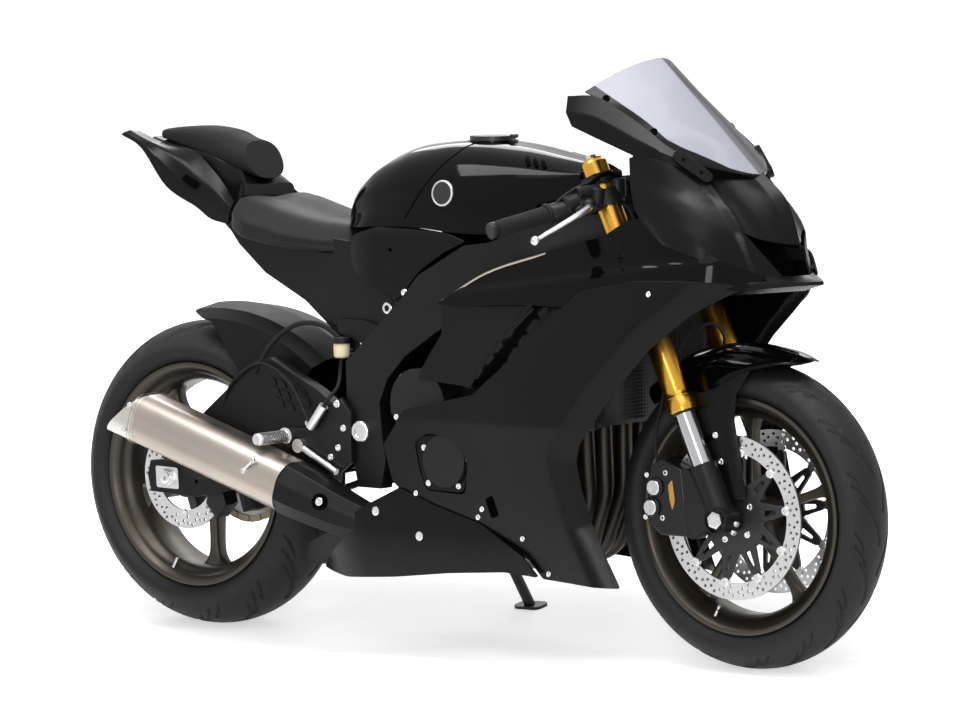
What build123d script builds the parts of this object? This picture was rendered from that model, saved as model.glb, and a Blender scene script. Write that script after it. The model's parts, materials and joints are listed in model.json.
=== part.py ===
from build123d import *
from collections import namedtuple
from math import asin, atan2, cos, degrees, hypot, pi, radians, sin
import os

# A fully faired 600 cc class sport bike in racing trim, parked on its side stand.
# It is modelled upright: +X forward, +Y to the rider's left, +Z up, the floor at z = 0.
# Each finished piece is set down on the side stand by one placement and written out.

# Driving dimensions, in millimetres and degrees
FRONT_AXLE_X = 1375.0
WHEELBASE = 1375.0
RAKE = 24.0
TRAIL = 97.0
LEAN = 10.5
FORK_SPREAD = 206.0
RUNNING_CLEARANCE = 0.05
SEAT_GAP = 0.3
MOVING_CLEARANCE = 5.0
PANEL_WALL = 4.0
FENDER_WALL = 3.0

# Wheels and tyres
Wheel = namedtuple(
    "Wheel",
    "axle_x radius half_width crown_half crown_drop flange_half hub_half hub_radius"
    " axle_radius spoke_root spoke_waist spoke_foot phase",
)
FRONT = Wheel(FRONT_AXLE_X, 300.0, 60.0, 57.0, 30.0, 52.0, 63.0, 36.0, 11.0, 40.0, 20.0, 46.0, 18.0)
REAR = Wheel(
    FRONT_AXLE_X - WHEELBASE, 315.0, 90.0, 87.0, 46.0, 78.0, 62.0, 46.0, 12.5, 48.0, 26.0, 60.0, 54.0
)
SPOKES = 5
FLANGE_RADIUS = 230.0
BEAD_RADIUS = FLANGE_RADIUS - 11
WELL_RADIUS = FLANGE_RADIUS - 30
RIM_WALL = 7.0
FLANGE_LIP = 8.0
TYRE_WALL = 9.0

# Brakes
DISC_THICKNESS = 4.5
FRONT_DISC_RADIUS = 160.0
FRONT_DISC_BORE = 126.0
FRONT_DISC_Y = 68.0
CARRIER_THICKNESS = 6.0
CARRIER_ARMS = 10
REAR_DISC_RADIUS = 110.0
REAR_DISC_BORE = 72.0
REAR_DISC_Y = 98.0
CALIPER_INNER = 44.0
CALIPER_OUTER = 112.0

# Chain drive
CHAIN_PITCH = 15.875
CHAIN_Y = 107.0
CHAIN_WIDTH = 16.0
CHAIN_HEIGHT = 15.0
REAR_TEETH = 43
FRONT_TEETH = 16
SPROCKET_THICKNESS = 6.0
SPROCKET_SHAFT_RADIUS = 12.0
COUNTERSHAFT = (612.0, 437.0)

# Fork: distances s run up a leg from the level of the front axle
TUBE_RADIUS = 21.5
SLIDER_RADIUS = 26.0
COLLAR_RADIUS = 29.0
FOOT_RADIUS = 27.0
TUBE_BOTTOM = 30.0
FOOT_TOP = 112.0
SLIDER_BOTTOM = 222.0
COLLAR_HEIGHT = 30.0
TUBE_OVERLAP = 70.0
SLIDER_TOP = 742.0
LOWER_CLAMP = (500.0, 534.0)
UPPER_CLAMP = (694.0, 716.0)
CLIP_ON = (650.0, 682.0)
STEM_RADIUS = 15.0
STEM_BORE = 9.0
STEM_BORE_DEPTH = 40.0
HEAD_RADIUS = 31.0
AXLE_BOSS = (76.0, 130.0)

# Bars and levers
BAR_RADIUS = 11.0
GRIP_RADIUS = 16.0
GRIP_LENGTH = 122.0
BAR_REACH = (-81.0, -210.0, -48.0)
LEVER_RADIUS = 6.0

# Frame and swingarm
PIVOT = (525.0, 435.0)
PIVOT_AXLE_RADIUS = 12.0
PIVOT_NUT_RADIUS = 21.0
ARM_INNER = 118.0
ARM_OUTER = 148.0
NECK_RIGHT = 112.0
NECK_LEFT = 90.0
SPOOL_RADIUS = 4.0
SPOOL_DEPTH = 20.0

# Engine
ENGINE_HALF = 112.0
SPROCKET_SIDE = 88.0
CLUTCH_CENTRE = (680.0, 500.0)
CLUTCH_RADIUS = 68.0
CLUTCH_REACH = 176.0
ROTOR_CENTRE = (776.0, 392.0)
ROTOR_RADIUS = 52.0
ROTOR_REACH = 214.0
COVER_CLEARANCE = 9.0

# Exhaust
HEADER_RADIUS = 18.0
HEADER_Y = (-96.0, -34.0, 34.0, 96.0)
MID_PIPE_RADIUS = 27.0
CAN_HALF_WIDTH = 56.0
CAN_HALF_HEIGHT = 53.0
CAN_CORNER = 44.0
CAN_END_LENGTH = 40.0
CAN_END_SLANT = 36.0
OUTLET_RADIUS = 24.0

# Tank cap
CAP_X = 742.0
CAP_RADIUS = 46.0
CAP_THICKNESS = 9.0
CAP_SEAT = 1014.0
HINGE_RADIUS = 5.0
HINGE_PIN_RADIUS = 2.0
HINGE_LUG_HALF = 9.0
HINGE_EAR = 6.0

# Footrests
HANGER_Y = (154.0, 166.0)
PEG = (330.0, 417.0)
PEG_RADIUS = 11.0
PEG_LENGTH = 90.0
PEDAL_PIVOT = (372.0, 400.0)
PEDAL_RADIUS = 7.0

# Side stand
STAND_PIVOT = (575.0, 136.0, 285.0)
STAND_TILT = 25.0
STAND_RAKE = 10.0
STAND_TUBE_RADIUS = 11.0
STAND_KNUCKLE_RADIUS = 17.0
STAND_KNUCKLE_THICKNESS = 14.0
STAND_KNUCKLE_REACH = 38.0
STAND_PIN_RADIUS = 6.0
STAND_FOOT_LENGTH = 66.0
STAND_FOOT_WIDTH = 44.0
STAND_FOOT_THICKNESS = 6.0

# Places worked out from the driving dimensions
RIGHT, LEFT = -1, 1
FORK_Y = FORK_SPREAD / 2
REAR_AXLE = Vector(REAR.axle_x, 0, REAR.radius)
FRONT_AXLE = Vector(FRONT.axle_x, 0, FRONT.radius)
REAR_XZ = (REAR_AXLE.X, REAR_AXLE.Z)
FRONT_XZ = (FRONT_AXLE.X, FRONT_AXLE.Z)
STEER_DIR = Vector(-sin(radians(RAKE)), 0, cos(radians(RAKE)))
STEER_FORWARD = Vector(cos(radians(RAKE)), 0, sin(radians(RAKE)))
FORK_OFFSET = FRONT.radius * sin(radians(RAKE)) - TRAIL * cos(radians(RAKE))
STEER_ORIGIN = FRONT_AXLE - STEER_FORWARD * FORK_OFFSET
HEAD_SPAN = (LOWER_CLAMP[1] + MOVING_CLEARANCE, UPPER_CLAMP[0] - MOVING_CLEARANCE)
STAND_AXIS = Vector(0, cos(radians(STAND_TILT)), sin(radians(STAND_TILT)))


def crown_radius(wheel):
    """Radius of the arc across a tyre's tread."""
    return (wheel.crown_half**2 + wheel.crown_drop**2) / (2 * wheel.crown_drop)


# Leaning drops each tyre by its own amount, which lifts and pitches the whole bike
REAR_SINK = crown_radius(REAR) * (1 - cos(radians(LEAN)))
FRONT_SINK = crown_radius(FRONT) * (1 - cos(radians(LEAN)))
PITCH = degrees(atan2(REAR_SINK - FRONT_SINK, WHEELBASE))
PARKED = Pos(0, 0, REAR_SINK) * Rot(0, PITCH, 0) * Rot(-LEAN, 0, 0)


def floor_height(point):
    """Height above the floor of a point of the upright bike, once it leans."""
    return (PARKED * Pos(*point)).position.Z


def side_plane(y):
    """Upright plane along the bike at y, whose local axes are X and Z."""
    return Plane(origin=(0, y, 0), x_dir=(1, 0, 0), z_dir=(0, -1, 0))


def cross_plane(x):
    """Upright plane across the bike at x, whose local axes are Y and Z."""
    return Plane(origin=(x, 0, 0), x_dir=(0, 1, 0), z_dir=(1, 0, 0))


def wheel_plane(wheel):
    """Cross plane through a wheel's centre, whose local axes are Y and radius."""
    return Plane(origin=(wheel.axle_x, 0, wheel.radius), x_dir=(0, 1, 0), z_dir=(1, 0, 0))


def leg_point(side, s):
    """Point on the centre line of a fork leg."""
    return FRONT_AXLE + Vector(0, side * FORK_Y, 0) + STEER_DIR * s


def stem_point(s, forward=0.0):
    """Point in the middle plane, forward of the steering axis."""
    return STEER_ORIGIN + STEER_DIR * s + STEER_FORWARD * forward


def head_xz(s, forward):
    """The same point as (x, z), for outlines that meet the steering head."""
    point = stem_point(s, forward)
    return (point.X, point.Z)


def from_axle(axle, points):
    """Outline corners given as offsets from an axle."""
    return [(axle.X + dx, axle.Z + dz) for dx, dz in points]


# Each of these draws one feature into the part being built
def slab(outline, y_from, y_to, mode=Mode.ADD):
    """Plate between two upright planes along the bike, with corners (x, z)."""
    low, high = sorted((y_from, y_to))
    with BuildSketch(side_plane(high)) as profile:
        with BuildLine():
            Polyline(*outline, close=True)
        make_face()
    extrude(profile.sketch, amount=high - low, mode=mode)


def drum(centre_xz, radius, y_from, y_to, mode=Mode.ADD):
    """Cylinder along Y."""
    low, high = sorted((y_from, y_to))
    with BuildSketch(side_plane(high)) as profile:
        with Locations(centre_xz):
            Circle(radius)
    extrude(profile.sketch, amount=high - low, mode=mode)


def bar(start, end, radius, mode=Mode.ADD):
    """Round bar from one point to another."""
    start, end = Vector(*start), Vector(*end)
    with BuildSketch(Plane(origin=start, z_dir=end - start)) as profile:
        Circle(radius)
    extrude(profile.sketch, amount=(end - start).length, mode=mode)


def pipe(points, bends, radius, mode=Mode.ADD):
    """Round pipe along straight runs joined by tangent arcs."""
    with BuildLine() as path:
        FilletPolyline(*points, radius=bends)
    with BuildSketch(Plane(origin=path.line @ 0, z_dir=path.line % 0)) as profile:
        Circle(radius)
    sweep(profile.sketch, path=path.line, mode=mode)


def leg_cylinder(side, s_from, s_to, radius, mode=Mode.ADD):
    """Cylinder along a fork leg."""
    bar(leg_point(side, s_from), leg_point(side, s_to), radius, mode)


def stem_cylinder(s_from, s_to, radius, mode=Mode.ADD):
    """Cylinder along the steering axis."""
    bar(stem_point(s_from), stem_point(s_to), radius, mode)


def stations(rows, mode=Mode.ADD):
    """Ruled solid through closed outlines of (y, z) corners, given as (x, outline)."""
    sketches = []
    for x, outline in rows:
        with BuildSketch(cross_plane(x)) as section:
            with BuildLine():
                Polyline(*outline, close=True)
            make_face()
        sketches.append(section.sketch)
    loft(sketches, ruled=True, mode=mode)


def plan_band(outer, inner, z_from, z_to, mode=Mode.ADD):
    """Upright band whose plan has an outer and an inner line of (x, y) corners."""
    with BuildSketch(Plane.XY.offset(z_from)) as profile:
        with BuildLine():
            Polyline(*outer, *inner[::-1], close=True)
        make_face()
    extrude(profile.sketch, amount=z_to - z_from, mode=mode)


def offset_line(points, wall):
    """Open line moved by wall to the right of its direction, mitred at its corners."""
    normals = []
    for (x0, y0), (x1, y1) in zip(points, points[1:]):
        length = hypot(x1 - x0, y1 - y0)
        normals.append(((y1 - y0) / length, -(x1 - x0) / length))
    moved = []
    for i, (x, y) in enumerate(points):
        before = normals[max(i - 1, 0)]
        after = normals[min(i, len(normals) - 1)]
        nx, ny = before[0] + after[0], before[1] + after[1]
        share = 2 * wall / (nx * nx + ny * ny)
        moved.append((x + nx * share, y + ny * share))
    return moved


def skin(points, wall):
    """Closed outline of a wall of even thickness behind an open line."""
    return points + offset_line(points, wall)[::-1]


def full_width(right):
    """Right-hand half of a section, from below upwards, closed with its mirror image."""
    return right + [(-y, z) for y, z in right[::-1]]


Bow = namedtuple("Bow", "front_x front_z rear_x rear_z half")


def bows(rows, wall, mode=Mode.ADD):
    """Shell wrapped round the front of the bike.

    Each bow lies in its own plane across the bike, from a front point on the centre
    line to a rear level, with half a row of (share of the way back, half width).
    """
    sketches = []
    for bow in rows:
        back = Vector(bow.rear_x - bow.front_x, 0, bow.rear_z - bow.front_z)
        plane = Plane(
            origin=(bow.front_x, 0, bow.front_z), x_dir=(0, 1, 0), z_dir=back.cross(Vector(0, 1, 0))
        )
        sign = 1 if plane.y_dir.dot(back) > 0 else -1
        reach = sign * back.length
        right = [(-y, share * reach) for share, y in reversed(bow.half)]
        left = [(y, share * reach) for share, y in bow.half if y > 0]
        with BuildSketch(plane) as section:
            with BuildLine():
                Polyline(*skin(right + left, -sign * wall), close=True)
            make_face()
        sketches.append(section.sketch)
    loft(sketches, ruled=True, mode=mode)


# Tyres
def tyre_profile(wheel):
    """Tread arc, sidewalls and hollow inside of a tyre."""
    shoulder = (wheel.crown_half, wheel.radius - wheel.crown_drop)
    bulge = (wheel.half_width, (shoulder[1] + FLANGE_RADIUS) / 2)
    heel = (wheel.flange_half - FLANGE_LIP - SEAT_GAP, FLANGE_RADIUS + 2)
    toe = (heel[0], BEAD_RADIUS + SEAT_GAP)
    inner = [
        (toe[0] - TYRE_WALL, toe[1]),
        (shoulder[0] - 2 * TYRE_WALL, shoulder[1] - TYRE_WALL),
        (0, wheel.radius - TYRE_WALL),
    ]

    def other(point):
        return (-point[0], point[1])

    with BuildSketch(wheel_plane(wheel)) as profile:
        with BuildLine():
            ThreePointArc(other(shoulder), (0, wheel.radius), shoulder)
            ThreePointArc(shoulder, bulge, heel)
            Line(heel, toe)
            Polyline(toe, *inner, *[other(p) for p in inner[-2::-1]], other(toe))
            Line(other(toe), other(heel))
            ThreePointArc(other(heel), other(bulge), other(shoulder))
        make_face()
    return profile.sketch


with BuildPart() as front_tyre:
    revolve(tyre_profile(FRONT), axis=Axis(FRONT_AXLE, (0, 1, 0)))

with BuildPart() as rear_tyre:
    revolve(tyre_profile(REAR), axis=Axis(REAR_AXLE, (0, 1, 0)))


# Rims with five spokes
def rim_features(wheel):
    """Barrel, hub, spokes and axle bore."""
    flange, seat, well = wheel.flange_half, wheel.flange_half - FLANGE_LIP, wheel.flange_half * 0.45
    outer = [(flange, FLANGE_RADIUS), (seat, FLANGE_RADIUS), (seat, BEAD_RADIUS), (well, WELL_RADIUS)]
    inner = [(well + RIM_WALL, WELL_RADIUS - RIM_WALL), (flange, BEAD_RADIUS - RIM_WALL)]
    profile = [(-y, r) for y, r in outer] + outer[::-1] + inner[::-1] + [(-y, r) for y, r in inner]
    axle = Vector(wheel.axle_x, 0, wheel.radius)
    with BuildSketch(wheel_plane(wheel)) as barrel:
        with BuildLine():
            Polyline(*profile, close=True)
        make_face()
    revolve(barrel.sketch, axis=Axis(axle, (0, 1, 0)))
    centre = (wheel.axle_x, wheel.radius)
    drum(centre, wheel.hub_radius, -wheel.hub_half, wheel.hub_half)
    stages = [
        (wheel.hub_radius - 8, wheel.spoke_root, wheel.spoke_root),
        (wheel.hub_radius + 34, wheel.spoke_waist, wheel.spoke_root * 0.8),
        (WELL_RADIUS - 50, wheel.spoke_waist * 0.85, wheel.spoke_root * 0.7),
        (WELL_RADIUS - RIM_WALL / 2, wheel.spoke_foot, wheel.spoke_root * 0.75),
    ]
    for i in range(SPOKES):
        angle = radians(wheel.phase + i * 360 / SPOKES)
        out = Vector(cos(angle), 0, sin(angle))
        sketches = []
        for radius, width, depth in stages:
            with BuildSketch(Plane(origin=axle + out * radius, x_dir=(0, 1, 0), z_dir=out)) as cut:
                Rectangle(depth, width)
            sketches.append(cut.sketch)
        loft(sketches, ruled=True)
    bore = wheel.axle_radius + RUNNING_CLEARANCE
    drum(centre, bore, -wheel.hub_half - 1, wheel.hub_half + 1, Mode.SUBTRACT)


with BuildPart() as front_rim:
    rim_features(FRONT)

with BuildPart() as rear_rim:
    rim_features(REAR)


# Brake discs and the spiders that carry them
def ring_plate(centre, radius, bore, y_from, y_to):
    """Flat ring across an axle."""
    drum(centre, radius, y_from, y_to)
    drum(centre, bore, y_from, y_to, Mode.SUBTRACT)


def spider(centre, y_from, y_to, bore, ring, reach, arms, arm_width):
    """Ring round the hub with arms out to a disc or sprocket."""
    low, high = sorted((y_from, y_to))
    with BuildSketch(side_plane(high)) as profile:
        with Locations(centre):
            Circle(ring)
            with PolarLocations((ring + reach) / 2 - 4, arms):
                Rectangle(reach - ring + 8, arm_width)
            Circle(bore, mode=Mode.SUBTRACT)
            Circle(reach, mode=Mode.INTERSECT)
    extrude(profile.sketch, amount=high - low)


HALF_DISC = DISC_THICKNESS / 2
with BuildPart() as front_discs:
    ring_plate(
        FRONT_XZ, FRONT_DISC_RADIUS, FRONT_DISC_BORE, -FRONT_DISC_Y - HALF_DISC, -FRONT_DISC_Y + HALF_DISC
    )
    mirror(about=Plane.XZ)

with BuildPart() as front_disc_carriers:
    spider(
        FRONT_XZ,
        -FRONT.hub_half,
        -FRONT.hub_half - CARRIER_THICKNESS,
        FRONT.axle_radius + 8,
        70.0,
        FRONT_DISC_BORE - SEAT_GAP,
        CARRIER_ARMS,
        16.0,
    )
    mirror(about=Plane.XZ)

with BuildPart() as rear_disc:
    ring_plate(REAR_XZ, REAR_DISC_RADIUS, REAR_DISC_BORE, -REAR_DISC_Y - HALF_DISC, -REAR_DISC_Y + HALF_DISC)

REAR_CARRIER_BORE = REAR.axle_radius + 8
with BuildPart() as rear_hub_carriers:
    spider(
        REAR_XZ,
        -REAR.hub_half,
        -REAR_DISC_Y - HALF_DISC,
        REAR_CARRIER_BORE,
        REAR.hub_radius,
        REAR_DISC_BORE - SEAT_GAP,
        SPOKES,
        20.0,
    )
    spider(
        REAR_XZ,
        REAR.hub_half,
        CHAIN_Y - SPROCKET_THICKNESS / 2,
        REAR_CARRIER_BORE,
        REAR.hub_radius + 6,
        92.0,
        SPOKES,
        26.0,
    )

# Chain drive
REAR_PITCH_RADIUS = CHAIN_PITCH / (2 * sin(pi / REAR_TEETH))
FRONT_PITCH_RADIUS = CHAIN_PITCH / (2 * sin(pi / FRONT_TEETH))
TOOTH_ROOT = 5.0
TOOTH_TIP = 3.0
REAR_CHAIN_CLEARANCE = 1.7


def sprocket(centre, pitch_radius, teeth, bore):
    """Toothed plate with straight-sided teeth that taper from root to tip."""
    root, tip = pitch_radius - TOOTH_ROOT, pitch_radius + TOOTH_TIP
    corners = []
    for i in range(teeth):
        for share, r in ((-0.3, root), (-0.12, tip), (0.12, tip), (0.3, root)):
            angle = 2 * pi * (i + share) / teeth
            corners.append((centre[0] + r * cos(angle), centre[1] + r * sin(angle)))
    slab(corners, CHAIN_Y - SPROCKET_THICKNESS / 2, CHAIN_Y + SPROCKET_THICKNESS / 2)
    drum(centre, bore, CHAIN_Y - SPROCKET_THICKNESS, CHAIN_Y + SPROCKET_THICKNESS, Mode.SUBTRACT)


def belt(grow, mode=Mode.ADD):
    """Solid inside a belt line that lies grow outside the pitch line."""
    dx, dz = COUNTERSHAFT[0] - REAR_AXLE.X, COUNTERSHAFT[1] - REAR_AXLE.Z
    heading = atan2(dz, dx)
    spread = asin((REAR_PITCH_RADIUS - FRONT_PITCH_RADIUS) / hypot(dx, dz))
    up, down = heading + pi / 2 - spread, heading - pi / 2 + spread

    def on(centre, radius, angle):
        return (centre[0] + radius * cos(angle), centre[1] + radius * sin(angle))

    big, small = REAR_PITCH_RADIUS + grow, FRONT_PITCH_RADIUS + grow
    with BuildSketch(side_plane(CHAIN_Y + CHAIN_WIDTH / 2)) as profile:
        with BuildLine():
            Line(on(REAR_XZ, big, up), on(COUNTERSHAFT, small, up))
            ThreePointArc(
                on(COUNTERSHAFT, small, up), on(COUNTERSHAFT, small, heading), on(COUNTERSHAFT, small, down)
            )
            Line(on(COUNTERSHAFT, small, down), on(REAR_XZ, big, down))
            ThreePointArc(on(REAR_XZ, big, down), on(REAR_XZ, big, heading + pi), on(REAR_XZ, big, up))
        make_face()
    extrude(profile.sketch, amount=CHAIN_WIDTH, mode=mode)


def tooth_groove(centre, pitch_radius, clearance):
    """Room for a sprocket's teeth between the chain's side plates."""
    half = SPROCKET_THICKNESS / 2 + clearance
    drum(centre, pitch_radius + TOOTH_TIP + clearance, CHAIN_Y - half, CHAIN_Y + half, Mode.SUBTRACT)


with BuildPart() as drive_chain:
    belt(CHAIN_HEIGHT / 2)
    belt(-CHAIN_HEIGHT / 2, Mode.SUBTRACT)
    tooth_groove(REAR_XZ, REAR_PITCH_RADIUS, REAR_CHAIN_CLEARANCE)
    tooth_groove(COUNTERSHAFT, FRONT_PITCH_RADIUS, SEAT_GAP)

with BuildPart() as rear_sprocket:
    sprocket(REAR_XZ, REAR_PITCH_RADIUS, REAR_TEETH, REAR_CARRIER_BORE)

with BuildPart() as front_sprocket:
    sprocket(COUNTERSHAFT, FRONT_PITCH_RADIUS, FRONT_TEETH, SPROCKET_SHAFT_RADIUS)


# Fork legs
with BuildPart() as fork_tubes:
    leg_cylinder(RIGHT, TUBE_BOTTOM, SLIDER_BOTTOM + TUBE_OVERLAP, TUBE_RADIUS)
    mirror(about=Plane.XZ)

with BuildPart() as fork_sliders:
    leg_cylinder(RIGHT, SLIDER_BOTTOM, SLIDER_TOP, SLIDER_RADIUS)
    leg_cylinder(RIGHT, SLIDER_BOTTOM, SLIDER_BOTTOM + COLLAR_HEIGHT, COLLAR_RADIUS)
    leg_cylinder(RIGHT, SLIDER_TOP, SLIDER_TOP + 9, SLIDER_RADIUS - 6)
    leg_cylinder(RIGHT, SLIDER_BOTTOM, SLIDER_BOTTOM + TUBE_OVERLAP, TUBE_RADIUS, Mode.SUBTRACT)
    mirror(about=Plane.XZ)

# Cast lower ends with the axle clamp and the seat of the radial caliper, as offsets
# from the front axle
CALIPER_SEAT = [(-81, -38), (-85, 30), (-92, 92)]
CALIPER_BACK = [(-143, 112), (-167, 96), (-175, 40), (-169, -16), (-143, -38)]
CALIPER_MOUNT = [(-77, 95), (-50, 60), (3, 25), (3, -25), (-25, -15), (-65, -42)]

with BuildPart() as fork_feet:
    leg_cylinder(RIGHT, 0, FOOT_TOP, FOOT_RADIUS)
    drum(FRONT_XZ, FOOT_RADIUS, -AXLE_BOSS[0], -AXLE_BOSS[1])
    slab(from_axle(FRONT_AXLE, CALIPER_SEAT + CALIPER_MOUNT), -AXLE_BOSS[0], -CALIPER_OUTER)
    leg_cylinder(RIGHT, TUBE_BOTTOM, FOOT_TOP, TUBE_RADIUS, Mode.SUBTRACT)
    drum(FRONT_XZ, FRONT.axle_radius, -AXLE_BOSS[0] + 5, -AXLE_BOSS[1] - 5, Mode.SUBTRACT)
    mirror(about=Plane.XZ)

PAD_SLOT = HALF_DISC + MOVING_CLEARANCE
with BuildPart() as front_calipers:
    slab(from_axle(FRONT_AXLE, CALIPER_SEAT + CALIPER_BACK), -CALIPER_INNER, -CALIPER_OUTER)
    drum(
        FRONT_XZ,
        FRONT_DISC_RADIUS + MOVING_CLEARANCE,
        -FRONT_DISC_Y - PAD_SLOT,
        -FRONT_DISC_Y + PAD_SLOT,
        Mode.SUBTRACT,
    )
    mirror(about=Plane.XZ)

with BuildPart() as front_axle:
    drum(FRONT_XZ, FRONT.axle_radius, -AXLE_BOSS[1] - 3, AXLE_BOSS[1] + 3)


# Fork clamps and steering stem
def clamp(s_range, boss, stem_boss):
    """Plate that joins both legs to the stem, with its outline across the axis."""
    reach = FORK_Y + boss
    half = [(reach, 14), (reach, FORK_OFFSET + 16), (FORK_Y, FORK_OFFSET + boss), (40, stem_boss)]
    back = [(30, -stem_boss), (FORK_Y, FORK_OFFSET - boss)]
    outline = [(-y, f) for y, f in half] + half[::-1] + back[::-1] + [(-y, f) for y, f in back]
    base = Plane(origin=stem_point(s_range[0]), x_dir=(0, 1, 0), z_dir=STEER_DIR)
    sign = 1 if base.y_dir.dot(STEER_FORWARD) > 0 else -1
    with BuildSketch(base) as profile:
        with BuildLine():
            Polyline(*[(y, sign * forward) for y, forward in outline], close=True)
        make_face()
    extrude(profile.sketch, amount=s_range[1] - s_range[0])
    for side in (RIGHT, LEFT):
        leg_cylinder(side, s_range[0] - 1, s_range[1] + 1, SLIDER_RADIUS, Mode.SUBTRACT)


with BuildPart() as fork_clamps:
    clamp(LOWER_CLAMP, 36.0, 30.0)
    clamp(UPPER_CLAMP, 34.0, 26.0)
    stem_cylinder(LOWER_CLAMP[0] - 1, LOWER_CLAMP[1] + 1, STEM_RADIUS, Mode.SUBTRACT)

with BuildPart() as steering_stem:
    stem_cylinder(LOWER_CLAMP[0] - 8, UPPER_CLAMP[0], STEM_RADIUS)
    stem_cylinder(LOWER_CLAMP[0] - 9, LOWER_CLAMP[0] - 8 + STEM_BORE_DEPTH, STEM_BORE, Mode.SUBTRACT)

# Clip-on bars, grips, perches and levers
CLIP_MIDDLE = (CLIP_ON[0] + CLIP_ON[1]) / 2
BAR_START = leg_point(RIGHT, CLIP_MIDDLE) + Vector(-15, -17, 0)
BAR_END = BAR_START + Vector(*BAR_REACH)
BAR_DIR = (BAR_END - BAR_START).normalized()
PERCH_MIDDLE = BAR_START + BAR_DIR * 48
LEVER_PIVOT = PERCH_MIDDLE + Vector(42, -8, 4)
LEVER_TIP = BAR_END + Vector(72, 8, -14)
LEVER_KNEE = LEVER_PIVOT + (LEVER_TIP - LEVER_PIVOT) * 0.4 + Vector(14, 0, 0)


def lever_features(mode=Mode.ADD):
    """Lever in front of a grip, from its perch to the ball at its tip."""
    bar(LEVER_PIVOT, LEVER_KNEE, LEVER_RADIUS + 0.5, mode)
    bar(LEVER_KNEE, LEVER_TIP, LEVER_RADIUS - 0.5, mode)
    with Locations(LEVER_KNEE):
        Sphere(LEVER_RADIUS + 0.5, mode=mode)
    with Locations(LEVER_TIP):
        Sphere(LEVER_RADIUS + 3, mode=mode)


with BuildPart() as handlebars:
    leg_cylinder(RIGHT, *CLIP_ON, SLIDER_RADIUS + 8)
    bar(BAR_START, BAR_END, BAR_RADIUS)
    bar(BAR_END, BAR_END + BAR_DIR * 14, GRIP_RADIUS - 1)
    leg_cylinder(RIGHT, CLIP_ON[0] - 9, CLIP_ON[1] + 9, SLIDER_RADIUS, Mode.SUBTRACT)
    mirror(about=Plane.XZ)

with BuildPart() as grips:
    bar(BAR_END - BAR_DIR * GRIP_LENGTH, BAR_END, GRIP_RADIUS)
    bar(BAR_START, BAR_END, BAR_RADIUS, Mode.SUBTRACT)
    mirror(about=Plane.XZ)

with BuildPart() as levers:
    lever_features()
    mirror(about=Plane.XZ)

with BuildPart() as lever_perches:
    bar(PERCH_MIDDLE - BAR_DIR * 13, PERCH_MIDDLE + BAR_DIR * 13, GRIP_RADIUS + 2)
    bar(PERCH_MIDDLE, LEVER_PIVOT, 11)
    with Locations(LEVER_PIVOT):
        Sphere(13)
    bar(BAR_START, BAR_END, BAR_RADIUS, Mode.SUBTRACT)
    lever_features(Mode.SUBTRACT)
    mirror(about=Plane.XZ)

# Front fender: a hoop over the tyre, with guards down the front of both legs
FENDER_GAP = 16.0
FENDER_FROM = 64.0
FENDER_SWEEP = 68.0
FENDER_INNER = FRONT.radius + FENDER_GAP
FENDER_SIDE = FRONT.half_width + MOVING_CLEARANCE
GUARD_Y = (80.0, 84.0)
GUARD = [
    (-20, 40), (21, 33), (37, 33), (49, 120), (49, 200), (37, 245), (21, 274), (-45, 266),
    (-100, 262), (-112, 222), (-69, 236), (-17, 124),
]
SHOULDER = [(37, 245), (21, 292), (-45, 290), (-100, 262), (-112, 222), (-45, 212)]


def hoop_line(half_width, radius, skirt):
    """Line across a tyre as (y, radius), from one skirt to the other."""
    side = [(-half_width, radius - skirt), (-half_width, radius - skirt / 2), (-half_width * 0.72, radius - 4)]
    return side + [(0, radius + 6)] + [(-y, r) for y, r in side[::-1]]


with BuildPart() as front_fender:
    with BuildSketch(wheel_plane(FRONT)) as profile:
        with BuildLine():
            Polyline(*skin(hoop_line(FENDER_SIDE, FENDER_INNER, 48), -FENDER_WALL), close=True)
        make_face()
    turn = Pos(*FRONT_AXLE) * Rot(0, 90 - FENDER_FROM, 0) * Pos(*-FRONT_AXLE)
    revolve(turn * profile.sketch, axis=Axis(FRONT_AXLE, (0, -1, 0)), revolution_arc=FENDER_SWEEP)
    slab(from_axle(FRONT_AXLE, GUARD), -GUARD_Y[0], -GUARD_Y[1])
    slab(from_axle(FRONT_AXLE, SHOULDER), -FENDER_SIDE - 1, -GUARD_Y[1])
    mirror(about=Plane.XZ)
    for side in (RIGHT, LEFT):
        leg_cylinder(side, 0, SLIDER_BOTTOM, FOOT_RADIUS + SEAT_GAP, Mode.SUBTRACT)
        leg_cylinder(side, SLIDER_BOTTOM - 5, SLIDER_TOP, COLLAR_RADIUS + SEAT_GAP, Mode.SUBTRACT)

# Frame: twin spars welded to the steering head, with one cross member
SPAR_SIDE = [
    head_xz(665, -44), (1008, 873), (847, 820), (797, 815), (677, 752), (631, 704), (560, 640),
    (478, 573), (480, 464), (500, 356), (508, 322), (572, 322), (585, 380), (577, 424), (570, 493),
    (593, 543), (640, 590), (720, 640), (850, 706), (960, 764), head_xz(566, -2),
]
SPAR_OUTER = [
    (1120, -26), (1085, -34), (1030, -60), (975, -108), (900, -150), (800, -166), (600, -162), (460, -150),
]
SPAR_INNER = [
    (1120, 0), (1060, 0), (1015, -26), (950, -76), (890, -116), (800, -130), (600, -128), (460, -116),
]
CROSS_MEMBER = [(436, 628), (520, 600), (532, 566), (566, 610), (560, 640), (500, 655), (436, 655)]
ENGINE_LUG = [(560, 330), (636, 334), (636, 364), (560, 364)]
LUG_OUTER = 127.0

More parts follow.
